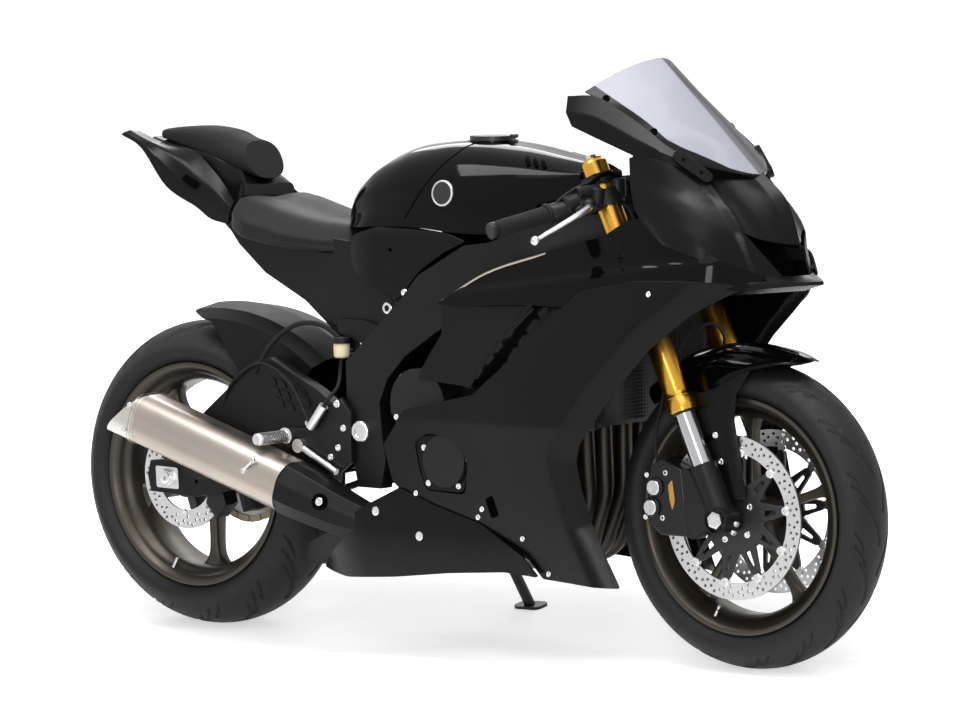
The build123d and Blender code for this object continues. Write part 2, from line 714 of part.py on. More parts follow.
with BuildPart() as frame:
    slab(SPAR_SIDE, 1, -170)
    plan_band(SPAR_OUTER, SPAR_INNER, 300, 920, Mode.INTERSECT)
    mirror(about=Plane.XZ)
    slab(CROSS_MEMBER, -124, 124)
    slab(ENGINE_LUG, -ENGINE_HALF, -LUG_OUTER)
    slab(ENGINE_LUG, SPROCKET_SIDE, LUG_OUTER)
    stem_cylinder(*HEAD_SPAN, HEAD_RADIUS)
    stem_cylinder(HEAD_SPAN[0] - 60, HEAD_SPAN[0], HEAD_RADIUS + MOVING_CLEARANCE, Mode.SUBTRACT)
    stem_cylinder(HEAD_SPAN[1], HEAD_SPAN[1] + 60, HEAD_RADIUS + MOVING_CLEARANCE, Mode.SUBTRACT)
    stem_cylinder(HEAD_SPAN[0] - 1, HEAD_SPAN[1] + 1, STEM_RADIUS + RUNNING_CLEARANCE, Mode.SUBTRACT)
    drum(PIVOT, PIVOT_AXLE_RADIUS, -180, 180, Mode.SUBTRACT)

PIVOT_NUT_Y = 157.0
with BuildPart() as swingarm_pivot:
    drum(PIVOT, PIVOT_AXLE_RADIUS, -PIVOT_NUT_Y - 9, PIVOT_NUT_Y + 9)
    drum(PIVOT, PIVOT_NUT_RADIUS, -PIVOT_NUT_Y, -PIVOT_NUT_Y - 8)
    drum(PIVOT, PIVOT_NUT_RADIUS, PIVOT_NUT_Y, PIVOT_NUT_Y + 8)
    add(frame.part, mode=Mode.SUBTRACT)

# Swingarm: two arms on a box and a neck that turns on the pivot
ARM_FRONT = [(330, 330), (462, 348), (462, 470), (400, 512), (275, 572), (232, 560)]
ARM_REAR = [(60, 110), (40, 37), (-52, 33), (-60, 3), (-52, -31), (70, -37)]
ARM_BOX = [(462, 364), (352, 352), (350, 430), (462, 438)]
ARM_NECK = [(456, 352), (456, 440), (500, 470), (552, 466), (556, 404), (520, 395)]
SPOOL = (72.0, -5.0)
SPOOL_XZ = (REAR_AXLE.X + SPOOL[0], REAR_AXLE.Z + SPOOL[1])

with BuildPart() as swingarm:
    slab(ARM_FRONT + from_axle(REAR_AXLE, ARM_REAR), -ARM_INNER, -ARM_OUTER)
    drum(SPOOL_XZ, SPOOL_RADIUS, -ARM_OUTER + SPOOL_DEPTH, -ARM_OUTER - 1, Mode.SUBTRACT)
    mirror(about=Plane.XZ)
    slab(ARM_BOX, -ARM_INNER, ARM_INNER)
    slab(ARM_NECK, -NECK_RIGHT, NECK_LEFT)
    drum(REAR_XZ, REAR.axle_radius, -ARM_OUTER - 1, ARM_OUTER + 1, Mode.SUBTRACT)
    drum(PIVOT, PIVOT_AXLE_RADIUS, -NECK_RIGHT - 1, NECK_LEFT + 1, Mode.SUBTRACT)

with BuildPart() as rear_axle:
    drum(REAR_XZ, REAR.axle_radius, -ARM_OUTER - 14, ARM_OUTER + 14)

# Rear brake caliper, ahead of the axle and carried by the right arm
REAR_CALIPER = [(70, -53), (96, -83), (124, -53), (108, 3), (84, 8), (79, -15)]
with BuildPart() as rear_caliper:
    slab(from_axle(REAR_AXLE, REAR_CALIPER), -REAR_DISC_Y + 22, -ARM_INNER)
    drum(
        REAR_XZ,
        REAR_DISC_RADIUS + MOVING_CLEARANCE,
        -REAR_DISC_Y - PAD_SLOT,
        -REAR_DISC_Y + PAD_SLOT,
        Mode.SUBTRACT,
    )

# Hugger over the rear tyre, whose crown rises ahead of the wheel
HUGGER_CENTRE = REAR_AXLE + Vector(76, 0, -107)
HUGGER_RADIUS = 463.0
HUGGER_FROM = 98.0
HUGGER_SWEEP = 46.0
HUGGER_SIDE = REAR.half_width + MOVING_CLEARANCE
HUGGER_LINE = [(-HUGGER_SIDE, 310), (-HUGGER_SIDE, 432), (-66, 450), (0, HUGGER_RADIUS - FENDER_WALL)]
HUGGER_OUTLINE = [(10, 375), (10, 338), (79, 319), (154, 217), (205, 170), (300, 150), (430, 240), (360, 380)]
HUGGER_TAB = [(200, 175), (246, 175), (246, 220), (215, 220)]

with BuildPart() as rear_hugger:
    with BuildSketch(Plane(origin=HUGGER_CENTRE, x_dir=(0, 1, 0), z_dir=(1, 0, 0))) as profile:
        with BuildLine():
            Polyline(*skin(HUGGER_LINE + [(-y, r) for y, r in HUGGER_LINE[-2::-1]], -FENDER_WALL), close=True)
        make_face()
    turn = Pos(*HUGGER_CENTRE) * Rot(0, 90 - HUGGER_FROM, 0) * Pos(*-HUGGER_CENTRE)
    revolve(turn * profile.sketch, axis=Axis(HUGGER_CENTRE, (0, 1, 0)), revolution_arc=HUGGER_SWEEP)
    slab(from_axle(REAR_AXLE, HUGGER_OUTLINE), -200, 200, Mode.INTERSECT)
    slab(from_axle(REAR_AXLE, HUGGER_TAB), -HUGGER_SIDE, -ARM_INNER)
    slab(from_axle(REAR_AXLE, HUGGER_TAB), HUGGER_SIDE, ARM_INNER)

# Engine: crankcase and inclined cylinders in one block, and its round covers
CRANKCASE = [
    (596, 476), (600, 300), (680, 238), (900, 232), (960, 300), (985, 420), (930, 455), (760, 545), (660, 556),
]
CRANKCASE_FRONT = [(700, 238), (900, 232), (960, 300), (985, 420), (930, 455), (760, 545), (700, 551)]
CYLINDERS = [(760, 545), (930, 455), (1012, 625), (852, 728)]
ENGINE_BOSS = (868.0, 712.0)

with BuildPart() as engine_block:
    slab(CRANKCASE, -ENGINE_HALF, SPROCKET_SIDE)
    slab(CRANKCASE_FRONT, SPROCKET_SIDE, ENGINE_HALF)
    slab(CYLINDERS, -ENGINE_HALF, ENGINE_HALF)
    drum(ENGINE_BOSS, 12, -LUG_OUTER, LUG_OUTER)
    drum(COUNTERSHAFT, SPROCKET_SHAFT_RADIUS, SPROCKET_SIDE, CHAIN_Y + SPROCKET_THICKNESS)
    add(frame.part, mode=Mode.SUBTRACT)

SPROCKET_COVER = [(592, 392), (668, 392), (690, 440), (668, 498), (604, 500), (586, 470)]
SPROCKET_COVER_FOOT = [(670, 400), (690, 440), (674, 480), (670, 480)]
COVER_INNER = CHAIN_Y + CHAIN_WIDTH / 2 + 4
with BuildPart() as engine_covers:
    drum(CLUTCH_CENTRE, CLUTCH_RADIUS, -ENGINE_HALF, -CLUTCH_REACH)
    drum(ROTOR_CENTRE, ROTOR_RADIUS, -ENGINE_HALF, -ROTOR_REACH)
    drum(ROTOR_CENTRE, ROTOR_RADIUS, ENGINE_HALF, ROTOR_REACH)
    slab(SPROCKET_COVER, COVER_INNER, COVER_INNER + 21)
    slab(SPROCKET_COVER_FOOT, SPROCKET_SIDE, COVER_INNER)
    add(frame.part, mode=Mode.SUBTRACT)

# Radiator, bowed forward at its ends, on two stays from the spars
RADIATOR_Z = (465.0, 714.0)
RADIATOR_FRONT = [(1128, -182), (1088, -110), (1084, 0), (1088, 110), (1128, 182)]
RADIATOR_DEPTH = 24.0
RADIATOR_STAY = [(1064, 706), (1082, 706), (1060, 806), (1036, 806)]
with BuildPart() as radiator:
    plan_band(RADIATOR_FRONT, [(x - RADIATOR_DEPTH, y) for x, y in RADIATOR_FRONT], *RADIATOR_Z)
    slab(RADIATOR_STAY, -42, -48)
    slab(RADIATOR_STAY, 42, 48)
    add(frame.part, mode=Mode.SUBTRACT)

# Exhaust: four headers from the cylinder ports into a collector under the engine
PORT_SHARE = 0.706
PORT_RUN = 50.0
PORT_FACE = (Vector(*CYLINDERS[1]), Vector(*CYLINDERS[2]))
PORT = PORT_FACE[0] + (PORT_FACE[1] - PORT_FACE[0]) * PORT_SHARE
PORT_OUT = (PORT_FACE[1] - PORT_FACE[0]).normalized().rotate(Axis.Z, -90)
PORT_BEND = PORT + PORT_OUT * PORT_RUN
COLLECTOR_START = (905.0, 192.0)
COLLECTOR_NECK = (820, -6, 190)
MID_PIPE = [COLLECTOR_NECK, (730, -20, 190), (640, -100, 219), (560, -172, 251)]


def mid_pipe(radius, mode=Mode.ADD):
    """Pipe from the collector out to the silencer's shield."""
    pipe(MID_PIPE, (60, 60), radius, mode)


with BuildPart() as exhaust_headers:
    for y in HEADER_Y:
        route = [
            (PORT.X, y, PORT.Y), (PORT_BEND.X, y, PORT_BEND.Y), (1036, y * 0.9, 330), (985, y * 0.62, 202),
            (COLLECTOR_START[0], y * 0.42, COLLECTOR_START[1]),
        ]
        pipe(route, (60, 110, 60), HEADER_RADIUS)
    across = {"x_dir": (0, 1, 0), "z_dir": (-1, 0, 0)}
    with BuildSketch(Plane(origin=(COLLECTOR_START[0], 0, COLLECTOR_START[1]), **across)) as wide:
        SlotOverall(130, 46)
    with BuildSketch(Plane(origin=COLLECTOR_NECK, **across)) as neck:
        SlotOverall(2 * MID_PIPE_RADIUS + 12, 2 * MID_PIPE_RADIUS)
    loft([wide.sketch, neck.sketch])
    mid_pipe(MID_PIPE_RADIUS)

# Silencer on the right, with a shield round the pipe ahead of it
CAN_FRONT = Vector(384, -214, 322)
CAN_REAR = Vector(-28, -214, 452)
CAN_DIR = (CAN_REAR - CAN_FRONT).normalized()
CAN_LENGTH = (CAN_REAR - CAN_FRONT).length
SHIELD = [
    (CAN_FRONT, 110, 104, 40),
    (CAN_FRONT + Vector(100, 6, -36), 104, 96, 36),
    (Vector(560, -176, 252), 74, 78, 30),
]


def can_plane(distance, tilt=0.0):
    """Plane across the silencer, a distance back from its front end."""
    return Plane(
        origin=CAN_FRONT + CAN_DIR * distance, x_dir=(0, 1, 0), z_dir=CAN_DIR.rotate(Axis.Y, tilt)
    )


with BuildPart() as silencer_can:
    with BuildSketch(can_plane(0)):
        RectangleRounded(2 * CAN_HALF_WIDTH, 2 * CAN_HALF_HEIGHT, CAN_CORNER)
    extrude(amount=CAN_LENGTH - CAN_END_LENGTH)

with BuildPart() as silencer_end:
    with BuildSketch(can_plane(CAN_LENGTH - CAN_END_LENGTH)):
        RectangleRounded(2 * CAN_HALF_WIDTH, 2 * CAN_HALF_HEIGHT, CAN_CORNER)
    extrude(amount=90)
    with BuildSketch(can_plane(CAN_LENGTH + 4, CAN_END_SLANT)):
        Rectangle(400, 400)
    extrude(amount=200, mode=Mode.SUBTRACT)
    with BuildSketch(can_plane(CAN_LENGTH - CAN_END_LENGTH / 2)):
        Circle(OUTLET_RADIUS)
    extrude(amount=120, mode=Mode.SUBTRACT)

with BuildPart() as silencer_shield:
    for origin, width, height, corner in SHIELD:
        with BuildSketch(Plane(origin=origin, x_dir=(0, 1, 0), z_dir=CAN_DIR)):
            RectangleRounded(width, height, corner)
    loft(ruled=True)
    mid_pipe(MID_PIPE_RADIUS, Mode.SUBTRACT)

# Tank, with the ring that its cap closes on
TankStation = namedtuple("TankStation", "x top shoulder_y shoulder_z side_y side_z low_y low_z")
TANK = [
    TankStation(430, 846, 52, 844, 72, 841, 74, 836),
    TankStation(452, 905, 62, 892, 96, 868, 104, 838),
    TankStation(502, 960, 74, 946, 122, 905, 134, 842),
    TankStation(581, 998, 84, 985, 142, 930, 148, 846),
    TankStation(660, 1011, 90, 1000, 152, 932, 152, 846),
    TankStation(760, 1013, 92, 1000, 154, 925, 150, 838),
    TankStation(850, 1003, 88, 988, 142, 915, 138, 838),
    TankStation(940, 986, 74, 972, 108, 915, 104, 862),
    TankStation(1012, 972, 56, 960, 68, 930, 64, 896),
]
TANK_TUB = [(520, 790), (880, 800), (930, 870), (500, 850)]
HINGE_XZ = (CAP_X + CAP_RADIUS + HINGE_RADIUS + 3, CAP_SEAT + CAP_THICKNESS)
EAR_FROM = HINGE_LUG_HALF + SEAT_GAP


def tank_section(t):
    """Outline of the tank across one station."""
    side = [(-t.low_y, t.low_z), (-t.side_y, t.side_z), (-t.shoulder_y, t.shoulder_z)]
    return full_width(side + [(-t.shoulder_y / 2, t.top)])


def hinge_block(y_from, y_to, low):
    """Ear round the cap's hinge pin, down to a level."""
    x, z = HINGE_XZ
    slab([(x - HINGE_RADIUS, low), (x + HINGE_RADIUS, low), (x + HINGE_RADIUS, z), (x - HINGE_RADIUS, z)], y_from, y_to)
    drum(HINGE_XZ, HINGE_RADIUS, y_from, y_to)


with BuildPart() as fuel_tank:
    stations([(t.x, tank_section(t)) for t in TANK])
    slab(TANK_TUB, -140, 140)
    add(frame.part, mode=Mode.SUBTRACT)
    with BuildSketch(Plane.XY.offset(CAP_SEAT - 20)):
        with Locations((CAP_X, 0)):
            Circle(CAP_RADIUS + 6)
    extrude(amount=20)
    hinge_block(-EAR_FROM, -EAR_FROM - HINGE_EAR, CAP_SEAT - 20)
    hinge_block(EAR_FROM, EAR_FROM + HINGE_EAR, CAP_SEAT - 20)
    drum(HINGE_XZ, HINGE_PIN_RADIUS, -EAR_FROM - 1, EAR_FROM + 1)

LUG_LOW = HINGE_XZ[1] - HINGE_RADIUS + 1
LUG_ROOT = CAP_X + CAP_RADIUS - 9
with BuildPart() as fuel_cap:
    with BuildSketch(Plane.XY.offset(CAP_SEAT + SEAT_GAP)):
        with Locations((CAP_X, 0)):
            Circle(CAP_RADIUS)
    extrude(amount=CAP_THICKNESS)
    slab([(LUG_ROOT, LUG_LOW), (HINGE_XZ[0], LUG_LOW), HINGE_XZ, (LUG_ROOT, HINGE_XZ[1])], -HINGE_LUG_HALF, HINGE_LUG_HALF)
    drum(HINGE_XZ, HINGE_RADIUS - 1, -HINGE_LUG_HALF, HINGE_LUG_HALF)
    drum(HINGE_XZ, HINGE_PIN_RADIUS + RUNNING_CLEARANCE, -20, 20, Mode.SUBTRACT)

# Seat and race tail
SeatStation = namedtuple("SeatStation", "x top top_y side_y side_z low_z")
SEAT = [
    SeatStation(148, 893, 92, 112, 872, 850),
    SeatStation(196, 886, 104, 148, 852, 816),
    SeatStation(300, 860, 100, 148, 826, 796),
    SeatStation(400, 843, 76, 126, 812, 786),
    SeatStation(468, 836, 58, 92, 812, 790),
]
with BuildPart() as seat:
    stations([(s.x, full_width([(-s.side_y, s.low_z), (-s.side_y, s.side_z), (-s.top_y, s.top)])) for s in SEAT])
    add(fuel_tank.part, mode=Mode.SUBTRACT)

TailStation = namedtuple("TailStation", "x top half low low_half")
TAIL_CORE = [
    TailStation(142, 930, 58, 812, 90),
    TailStation(60, 972, 62, 872, 84),
    TailStation(-20, 992, 60, 915, 70),
    TailStation(-100, 1002, 46, 972, 50),
]
TAIL_PAD = [
    TailStation(140, 962, 34, 931, 40),
    TailStation(118, 1002, 56, 944, 58),
    TailStation(20, 1030, 58, 983, 58),
    TailStation(-98, 1026, 34, 1003, 42),
]
WING = [
    (-150, 1014), (-88, 1005), (20, 970), (60, 925), (150, 880), (168, 826), (96, 848), (60, 882), (-22, 914),
]
WING_WEB = [(60, 925), (120, 893), (110, 845), (50, 885)]
WING_Y = (112.0, 126.0)


def tail_rows(table):
    """Stations of a tail piece with a flat top and bottom."""
    return [(t.x, full_width([(-t.low_half, t.low), (-t.half, t.top)])) for t in table]


with BuildPart() as tail_cowl:
    stations(tail_rows(TAIL_CORE))
    slab(WING, -WING_Y[0], -WING_Y[1])
    slab(WING_WEB, -60, -WING_Y[0])
    mirror(about=Plane.XZ)
    add(seat.part, mode=Mode.SUBTRACT)

with BuildPart() as tail_pad:
    stations(tail_rows(TAIL_PAD))
    add(tail_cowl.part, mode=Mode.SUBTRACT)

# Subframe: two side plates with the tray between them
SUBFRAME_SIDE = [
    (120, 862), (172, 798), (240, 742), (345, 689), (396, 649), (476, 580), (540, 636), (590, 680),
    (527, 728), (474, 810), (190, 840),
]
TRAY = [(120, 862), (180, 806), (245, 758), (350, 712), (470, 700), (474, 800), (190, 830)]
SUBFRAME_Y = (100.0, 116.0)
with BuildPart() as subframe:
    slab(SUBFRAME_SIDE, -SUBFRAME_Y[0], -SUBFRAME_Y[1])
    mirror(about=Plane.XZ)
    slab(TRAY, -SUBFRAME_Y[0], SUBFRAME_Y[0])
    for neighbour in (frame, fuel_tank, seat, tail_cowl):
        add(neighbour.part, mode=Mode.SUBTRACT)

# Side covers between tank, seat and frame
SIDE_COVER = [
    (500, 752), (540, 728), (612, 700), (628, 712), (674, 760), (794, 822), (740, 831), (640, 841), (560, 838),
    (488, 820),
]
with BuildPart() as side_covers:
    slab(SIDE_COVER, -136, -152)
    mirror(about=Plane.XZ)
    for neighbour in (frame, fuel_tank):
        add(neighbour.part, mode=Mode.SUBTRACT)

# Rear shock, from the swingarm's box to the cross member
with BuildPart() as rear_shock:
    bar((432, 0, 400), (449, 0, 640), 12)
    bar((436, 0, 456), (446, 0, 596), 34)
    for neighbour in (frame, swingarm):
        add(neighbour.part, mode=Mode.SUBTRACT)

# Main side panels: outer half widths at five levels for each station
PanelStation = namedtuple("PanelStation", "x y_140 y_300 y_475 y_640 y_800")
PANEL_LEVELS = (140.0, 300.0, 475.0, 640.0, 800.0)
PANEL = [
    PanelStation(590, 150, 186, 206, 200, 190),
    PanelStation(800, 152, 196, 226, 214, 196),
    PanelStation(1000, 160, 206, 245, 232, 206),
    PanelStation(1150, 188, 210, 246, 238, 214),
    PanelStation(1300, 196, 214, 236, 232, 206),
    PanelStation(1400, 150, 170, 190, 196, 178),
    PanelStation(1480, 80, 90, 100, 104, 92),
]
PANEL_OUTLINE = [
    (613, 415), (630, 343), (648, 329), (736, 300), (854, 268), (952, 209), (983, 166), (1168, 158),
    (1112, 283), (1094, 404), (1136, 469), (1180, 523), (1280, 631), (1392, 718), (1474, 757),
    (1392, 786), (1274, 757), (1120, 713), (1012, 639), (889, 548), (864, 528), (676, 490),
]
UPPER_INSET = 22.0
UPPER_OUTLINE = [
    (734, 690), (744, 723), (861, 773), (1059, 818), (1150, 842), (1200, 872), (1238, 880), (1296, 838),
    (1392, 812), (1462, 772), (1392, 746), (1274, 715), (1120, 672), (1012, 598), (889, 520), (700, 532),
    (690, 566),
]
PANEL_POST = (905.0, 420.0)
PANEL_POST_Y = 223.0
UPPER_POST = (1010.0, 612.0)
UPPER_POST_Y = 231.0


def panel_wall(inset):
    """Wall that follows the panel table, moved inward by inset."""
    stations([(p.x, skin([(inset - y, z) for y, z in zip(p[1:], PANEL_LEVELS)], PANEL_WALL)) for p in PANEL])


# Nose cowl and windscreen
NOSE = [
    Bow(1500, 757, 1300, 836, ((0, 0), (0.02, 46), (0.22, 92), (0.55, 158), (1, 190))),
    Bow(1488, 830, 1246, 880, ((0, 0), (0.03, 40), (0.24, 100), (0.58, 160), (1, 184))),
    Bow(1462, 900, 1225, 935, ((0, 0), (0.05, 36), (0.28, 100), (0.6, 150), (1, 172))),
    Bow(1397, 960, 1209, 1000, ((0, 0), (0.08, 36), (0.34, 96), (0.62, 138), (1, 160))),
]
SCREEN = [
    Bow(1399, 955, 1297, 1001, ((0, 0), (0.14, 35), (0.6, 95), (1, 129))),
    Bow(1282, 1066, 1200, 1066, ((0, 0), (0.1, 38), (0.5, 98), (1, 134))),
    Bow(1160, 1183, 1082, 1122, ((0, 0), (0.12, 40), (0.5, 100), (1, 140))),
]
SCREEN_WALL = 3.0
with BuildPart() as nose_cowl:
    bows(NOSE, PANEL_WALL)

with BuildPart() as windscreen:
    bows(SCREEN, SCREEN_WALL)
    add(nose_cowl.part, mode=Mode.SUBTRACT)

STRIP = [(1050, 1106), (1068, 1052), (1180, 1012), (1212, 992), (1300, 992), (1302, 1004), (1082, 1120)]
with BuildPart() as screen_strips:
    slab(STRIP, -146, -166)
    mirror(about=Plane.XZ)
    for neighbour in (nose_cowl, windscreen):
        add(neighbour.part, mode=Mode.SUBTRACT)

with BuildPart() as side_panels:
    panel_wall(0)
    slab(PANEL_OUTLINE, -10, -300, Mode.INTERSECT)
    drum(ROTOR_CENTRE, ROTOR_RADIUS + COVER_CLEARANCE, -150, -300, Mode.SUBTRACT)
    drum(PANEL_POST, 9, -ENGINE_HALF, -PANEL_POST_Y)
    mirror(about=Plane.XZ)

with BuildPart() as upper_panels:
    panel_wall(UPPER_INSET)
    slab(UPPER_OUTLINE, -10, -300, Mode.INTERSECT)
    drum(UPPER_POST, 8, -UPPER_POST_Y + 18, -UPPER_POST_Y)
    mirror(about=Plane.XZ)
    for neighbour in (nose_cowl, side_panels):
        add(neighbour.part, mode=Mode.SUBTRACT)

# Belly pan sides, open where the pipe leaves and where the side stand swings
BellyStation = namedtuple("BellyStation", "x top_y top_z mid_y mid_z low_y low_z")
BELLY = [
    BellyStation(290, 62, 184, 60, 164, 52, 146),
    BellyStation(420, 100, 238, 98, 190, 84, 152),
    BellyStation(560, 146, 300, 140, 220, 104, 157),
    BellyStation(650, 191, 336, 172, 235, 118, 184),
    BellyStation(800, 193, 294, 178, 232, 134, 190),
    BellyStation(944, 178, 222, 172, 206, 152, 197),
]
PIPE_CLEARANCE = 6.0
PIPE_NOTCH = [(470, 212), (470, 420), (632, 420), (632, 212)]
STAND_NOTCH = [(300, 150), (300, 420), (690, 420), (690, 250), (660, 150)]


def belly_section(b):
    """Outline of the belly pan's wall across one station."""
    return skin([(-b.low_y, b.low_z), (-b.mid_y, b.mid_z), (-b.top_y, b.top_z)], PANEL_WALL)


with BuildPart() as belly_pan:
    stations([(b.x, belly_section(b)) for b in BELLY])
    mirror(about=Plane.XZ)
    slab(PIPE_NOTCH, -90, -260, Mode.SUBTRACT)
    slab(STAND_NOTCH, 120, 260, Mode.SUBTRACT)
    mid_pipe(MID_PIPE_RADIUS + PIPE_CLEARANCE, Mode.SUBTRACT)
    add(side_panels.part, mode=Mode.SUBTRACT)

# Dash and the stay that carries it and the nose from the steering head
DASH = [(1180, 1010), (1200, 1030), (1248, 1000), (1240, 965)]
STAY = [
    head_xz(590, 20), head_xz(640, 20), (1222, 905), (1222, 975), (1262, 975), (1275, 915),
    (1485, 818), (1487, 796), (1290, 850),
]
with BuildPart() as dash:
    slab(DASH, -62, 62)

with BuildPart() as front_stay:
    slab(STAY, -28, 28)
    for neighbour in (frame, nose_cowl, dash):
        add(neighbour.part, mode=Mode.SUBTRACT)

# Footrests, pedals and rear brake cylinders
HANGER = [(474, 500), (500, 470), (500, 372), (470, 350), (372, 386), (318, 400), (318, 432), (390, 436)]
PEDAL_TOE = (472.0, 352.0)
CYLINDER_RADIUS = 10.0
RESERVOIR_RADIUS = 16.0
with BuildPart() as footrest_hangers:
    slab(HANGER, -HANGER_Y[0], -HANGER_Y[1])
    mirror(about=Plane.XZ)

with BuildPart() as footpegs:
    drum(PEG, PEG_RADIUS, -HANGER_Y[1], -HANGER_Y[1] - PEG_LENGTH)
    mirror(about=Plane.XZ)

with BuildPart() as foot_levers:
    drum(PEDAL_PIVOT, 2 * PEDAL_RADIUS, -HANGER_Y[1], -HANGER_Y[1] - 14)
    bar(
        (PEDAL_PIVOT[0], -HANGER_Y[1] - PEDAL_RADIUS, PEDAL_PIVOT[1]),
        (PEDAL_TOE[0], -HANGER_Y[1] - PEDAL_RADIUS - 6, PEDAL_TOE[1]),
        PEDAL_RADIUS,
    )
    mirror(about=Plane.XZ)

CYLINDER_Y = -HANGER_Y[1] - CYLINDER_RADIUS
with BuildPart() as rear_master_cylinder:
    bar((404, CYLINDER_Y, 438), (440, CYLINDER_Y, 484), CYLINDER_RADIUS)

RESERVOIR_Y = -SUBFRAME_Y[1] - RESERVOIR_RADIUS
with BuildPart() as rear_reservoir:
    bar((452, RESERVOIR_Y, 578), (452, RESERVOIR_Y, 616), RESERVOIR_RADIUS)


# Side stand, cut from its real pose on the floor, and its bracket on the frame
def stand_plane(height):
    """Plane across the stand's pivot, a distance out along its pin."""
    return Plane(origin=Vector(*STAND_PIVOT) + STAND_AXIS * height, x_dir=(1, 0, 0), z_dir=STAND_AXIS)


STAND_LEG_DIR = stand_plane(0).y_dir * cos(radians(STAND_RAKE)) + Vector(1, 0, 0) * sin(radians(STAND_RAKE))
KNUCKLE_MIDDLE = Vector(*STAND_PIVOT) + STAND_AXIS * (STAND_KNUCKLE_THICKNESS / 2)
DROP_PER_MM = floor_height(KNUCKLE_MIDDLE) - floor_height(KNUCKLE_MIDDLE + STAND_LEG_DIR)
STAND_LENGTH = floor_height(KNUCKLE_MIDDLE) / DROP_PER_MM
STAND_FOOT = KNUCKLE_MIDDLE + STAND_LEG_DIR * STAND_LENGTH
FLOOR_NORMAL = Vector(0, -sin(radians(LEAN)), cos(radians(LEAN)))
BRACKET_GAP = 0.4
BRACKET_BOSS_RADIUS = 15.0
BRACKET_PLATE = [(508, 345), (572, 345), (598, 300), (598, 262), (556, 262)]
BRACKET_Y = (106.0, 119.8)

with BuildPart() as side_stand:
    with BuildSketch(stand_plane(0)):
        Circle(STAND_KNUCKLE_RADIUS)
        with Locations(
            Location(
                (
                    STAND_KNUCKLE_REACH / 2 * sin(radians(STAND_RAKE)),
                    STAND_KNUCKLE_REACH / 2 * cos(radians(STAND_RAKE)),
                ),
                90 - STAND_RAKE,
            )
        ):
            Rectangle(STAND_KNUCKLE_REACH, 2 * STAND_TUBE_RADIUS)
    extrude(amount=STAND_KNUCKLE_THICKNESS)
    bar(KNUCKLE_MIDDLE + STAND_LEG_DIR * (STAND_KNUCKLE_REACH - 12), STAND_FOOT, STAND_TUBE_RADIUS)
    foot_plane = Plane(origin=STAND_FOOT, x_dir=(1, 0, 0), z_dir=FLOOR_NORMAL)
    with BuildSketch(foot_plane):
        RectangleRounded(STAND_FOOT_LENGTH, STAND_FOOT_WIDTH, 14)
    extrude(amount=STAND_FOOT_THICKNESS)
    with BuildSketch(foot_plane):
        Rectangle(200, 200)
    extrude(amount=-60, mode=Mode.SUBTRACT)
    with BuildSketch(stand_plane(-1)):
        Circle(STAND_PIN_RADIUS + RUNNING_CLEARANCE)
    extrude(amount=STAND_KNUCKLE_THICKNESS + 2, mode=Mode.SUBTRACT)

with BuildPart() as stand_bracket:
    slab(BRACKET_PLATE, *BRACKET_Y)
    add(frame.part, mode=Mode.SUBTRACT)
    with BuildSketch(stand_plane(-BRACKET_GAP)):
        Circle(BRACKET_BOSS_RADIUS)
    extrude(amount=-24)
    with BuildSketch(stand_plane(-BRACKET_GAP)):
        Circle(STAND_PIN_RADIUS)
    extrude(amount=STAND_KNUCKLE_THICKNESS + 2 * BRACKET_GAP)
    with BuildSketch(stand_plane(STAND_KNUCKLE_THICKNESS + BRACKET_GAP)):
        Circle(2 * STAND_PIN_RADIUS)
    extrude(amount=5)

# Every piece, by the name it is written under
PIECES = {
    "front_tyre": front_tyre,
    "rear_tyre": rear_tyre,
    "front_rim": front_rim,
    "rear_rim": rear_rim,
    "front_discs": front_discs,
    "front_disc_carriers": front_disc_carriers,
    "rear_disc": rear_disc,
    "rear_hub_carriers": rear_hub_carriers,
    "rear_sprocket": rear_sprocket,
    "front_sprocket": front_sprocket,
    "drive_chain": drive_chain,
    "fork_tubes": fork_tubes,
    "fork_sliders": fork_sliders,
    "fork_feet": fork_feet,
    "front_calipers": front_calipers,
    "front_axle": front_axle,
    "fork_clamps": fork_clamps,
    "steering_stem": steering_stem,
    "handlebars": handlebars,
    "grips": grips,
    "levers": levers,
    "lever_perches": lever_perches,
    "front_fender": front_fender,
    "frame": frame,
    "swingarm_pivot": swingarm_pivot,
    "swingarm": swingarm,
    "rear_axle": rear_axle,
    "rear_caliper": rear_caliper,
    "rear_hugger": rear_hugger,
    "engine_block": engine_block,
    "engine_covers": engine_covers,
    "radiator": radiator,
    "exhaust_headers": exhaust_headers,
    "silencer_can": silencer_can,
    "silencer_end": silencer_end,
    "silencer_shield": silencer_shield,
    "fuel_tank": fuel_tank,
    "fuel_cap": fuel_cap,
    "seat": seat,
    "tail_cowl": tail_cowl,
    "tail_pad": tail_pad,
    "subframe": subframe,
    "side_covers": side_covers,
    "rear_shock": rear_shock,
    "nose_cowl": nose_cowl,
    "windscreen": windscreen,
    "screen_strips": screen_strips,
    "side_panels": side_panels,
    "upper_panels": upper_panels,
    "belly_pan": belly_pan,
    "dash": dash,
    "front_stay": front_stay,
    "footrest_hangers": footrest_hangers,
    "footpegs": footpegs,
    "foot_levers": foot_levers,
    "rear_master_cylinder": rear_master_cylinder,
    "rear_reservoir": rear_reservoir,
    "side_stand": side_stand,
    "stand_bracket": stand_bracket,
}

# The parked bike is centred over the origin, with its lowest point on the floor
parked_box = Compound([piece.part.moved(PARKED) for piece in PIECES.values()]).bounding_box()
CENTRED = Pos(-parked_box.center().X, -parked_box.center().Y, -parked_box.min.Z)

os.makedirs("parts", exist_ok=True)
for label, piece in PIECES.items():
    placed = piece.part.moved(CENTRED * PARKED)
    placed.label = label
    export_step(placed, f"parts/{label}.step")
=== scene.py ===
import json
from math import asin, atan2, copysign, cos, hypot, pi, radians, sin, sqrt

import bmesh
import bpy
import numpy as np
from mathutils import Matrix, Vector, geometry


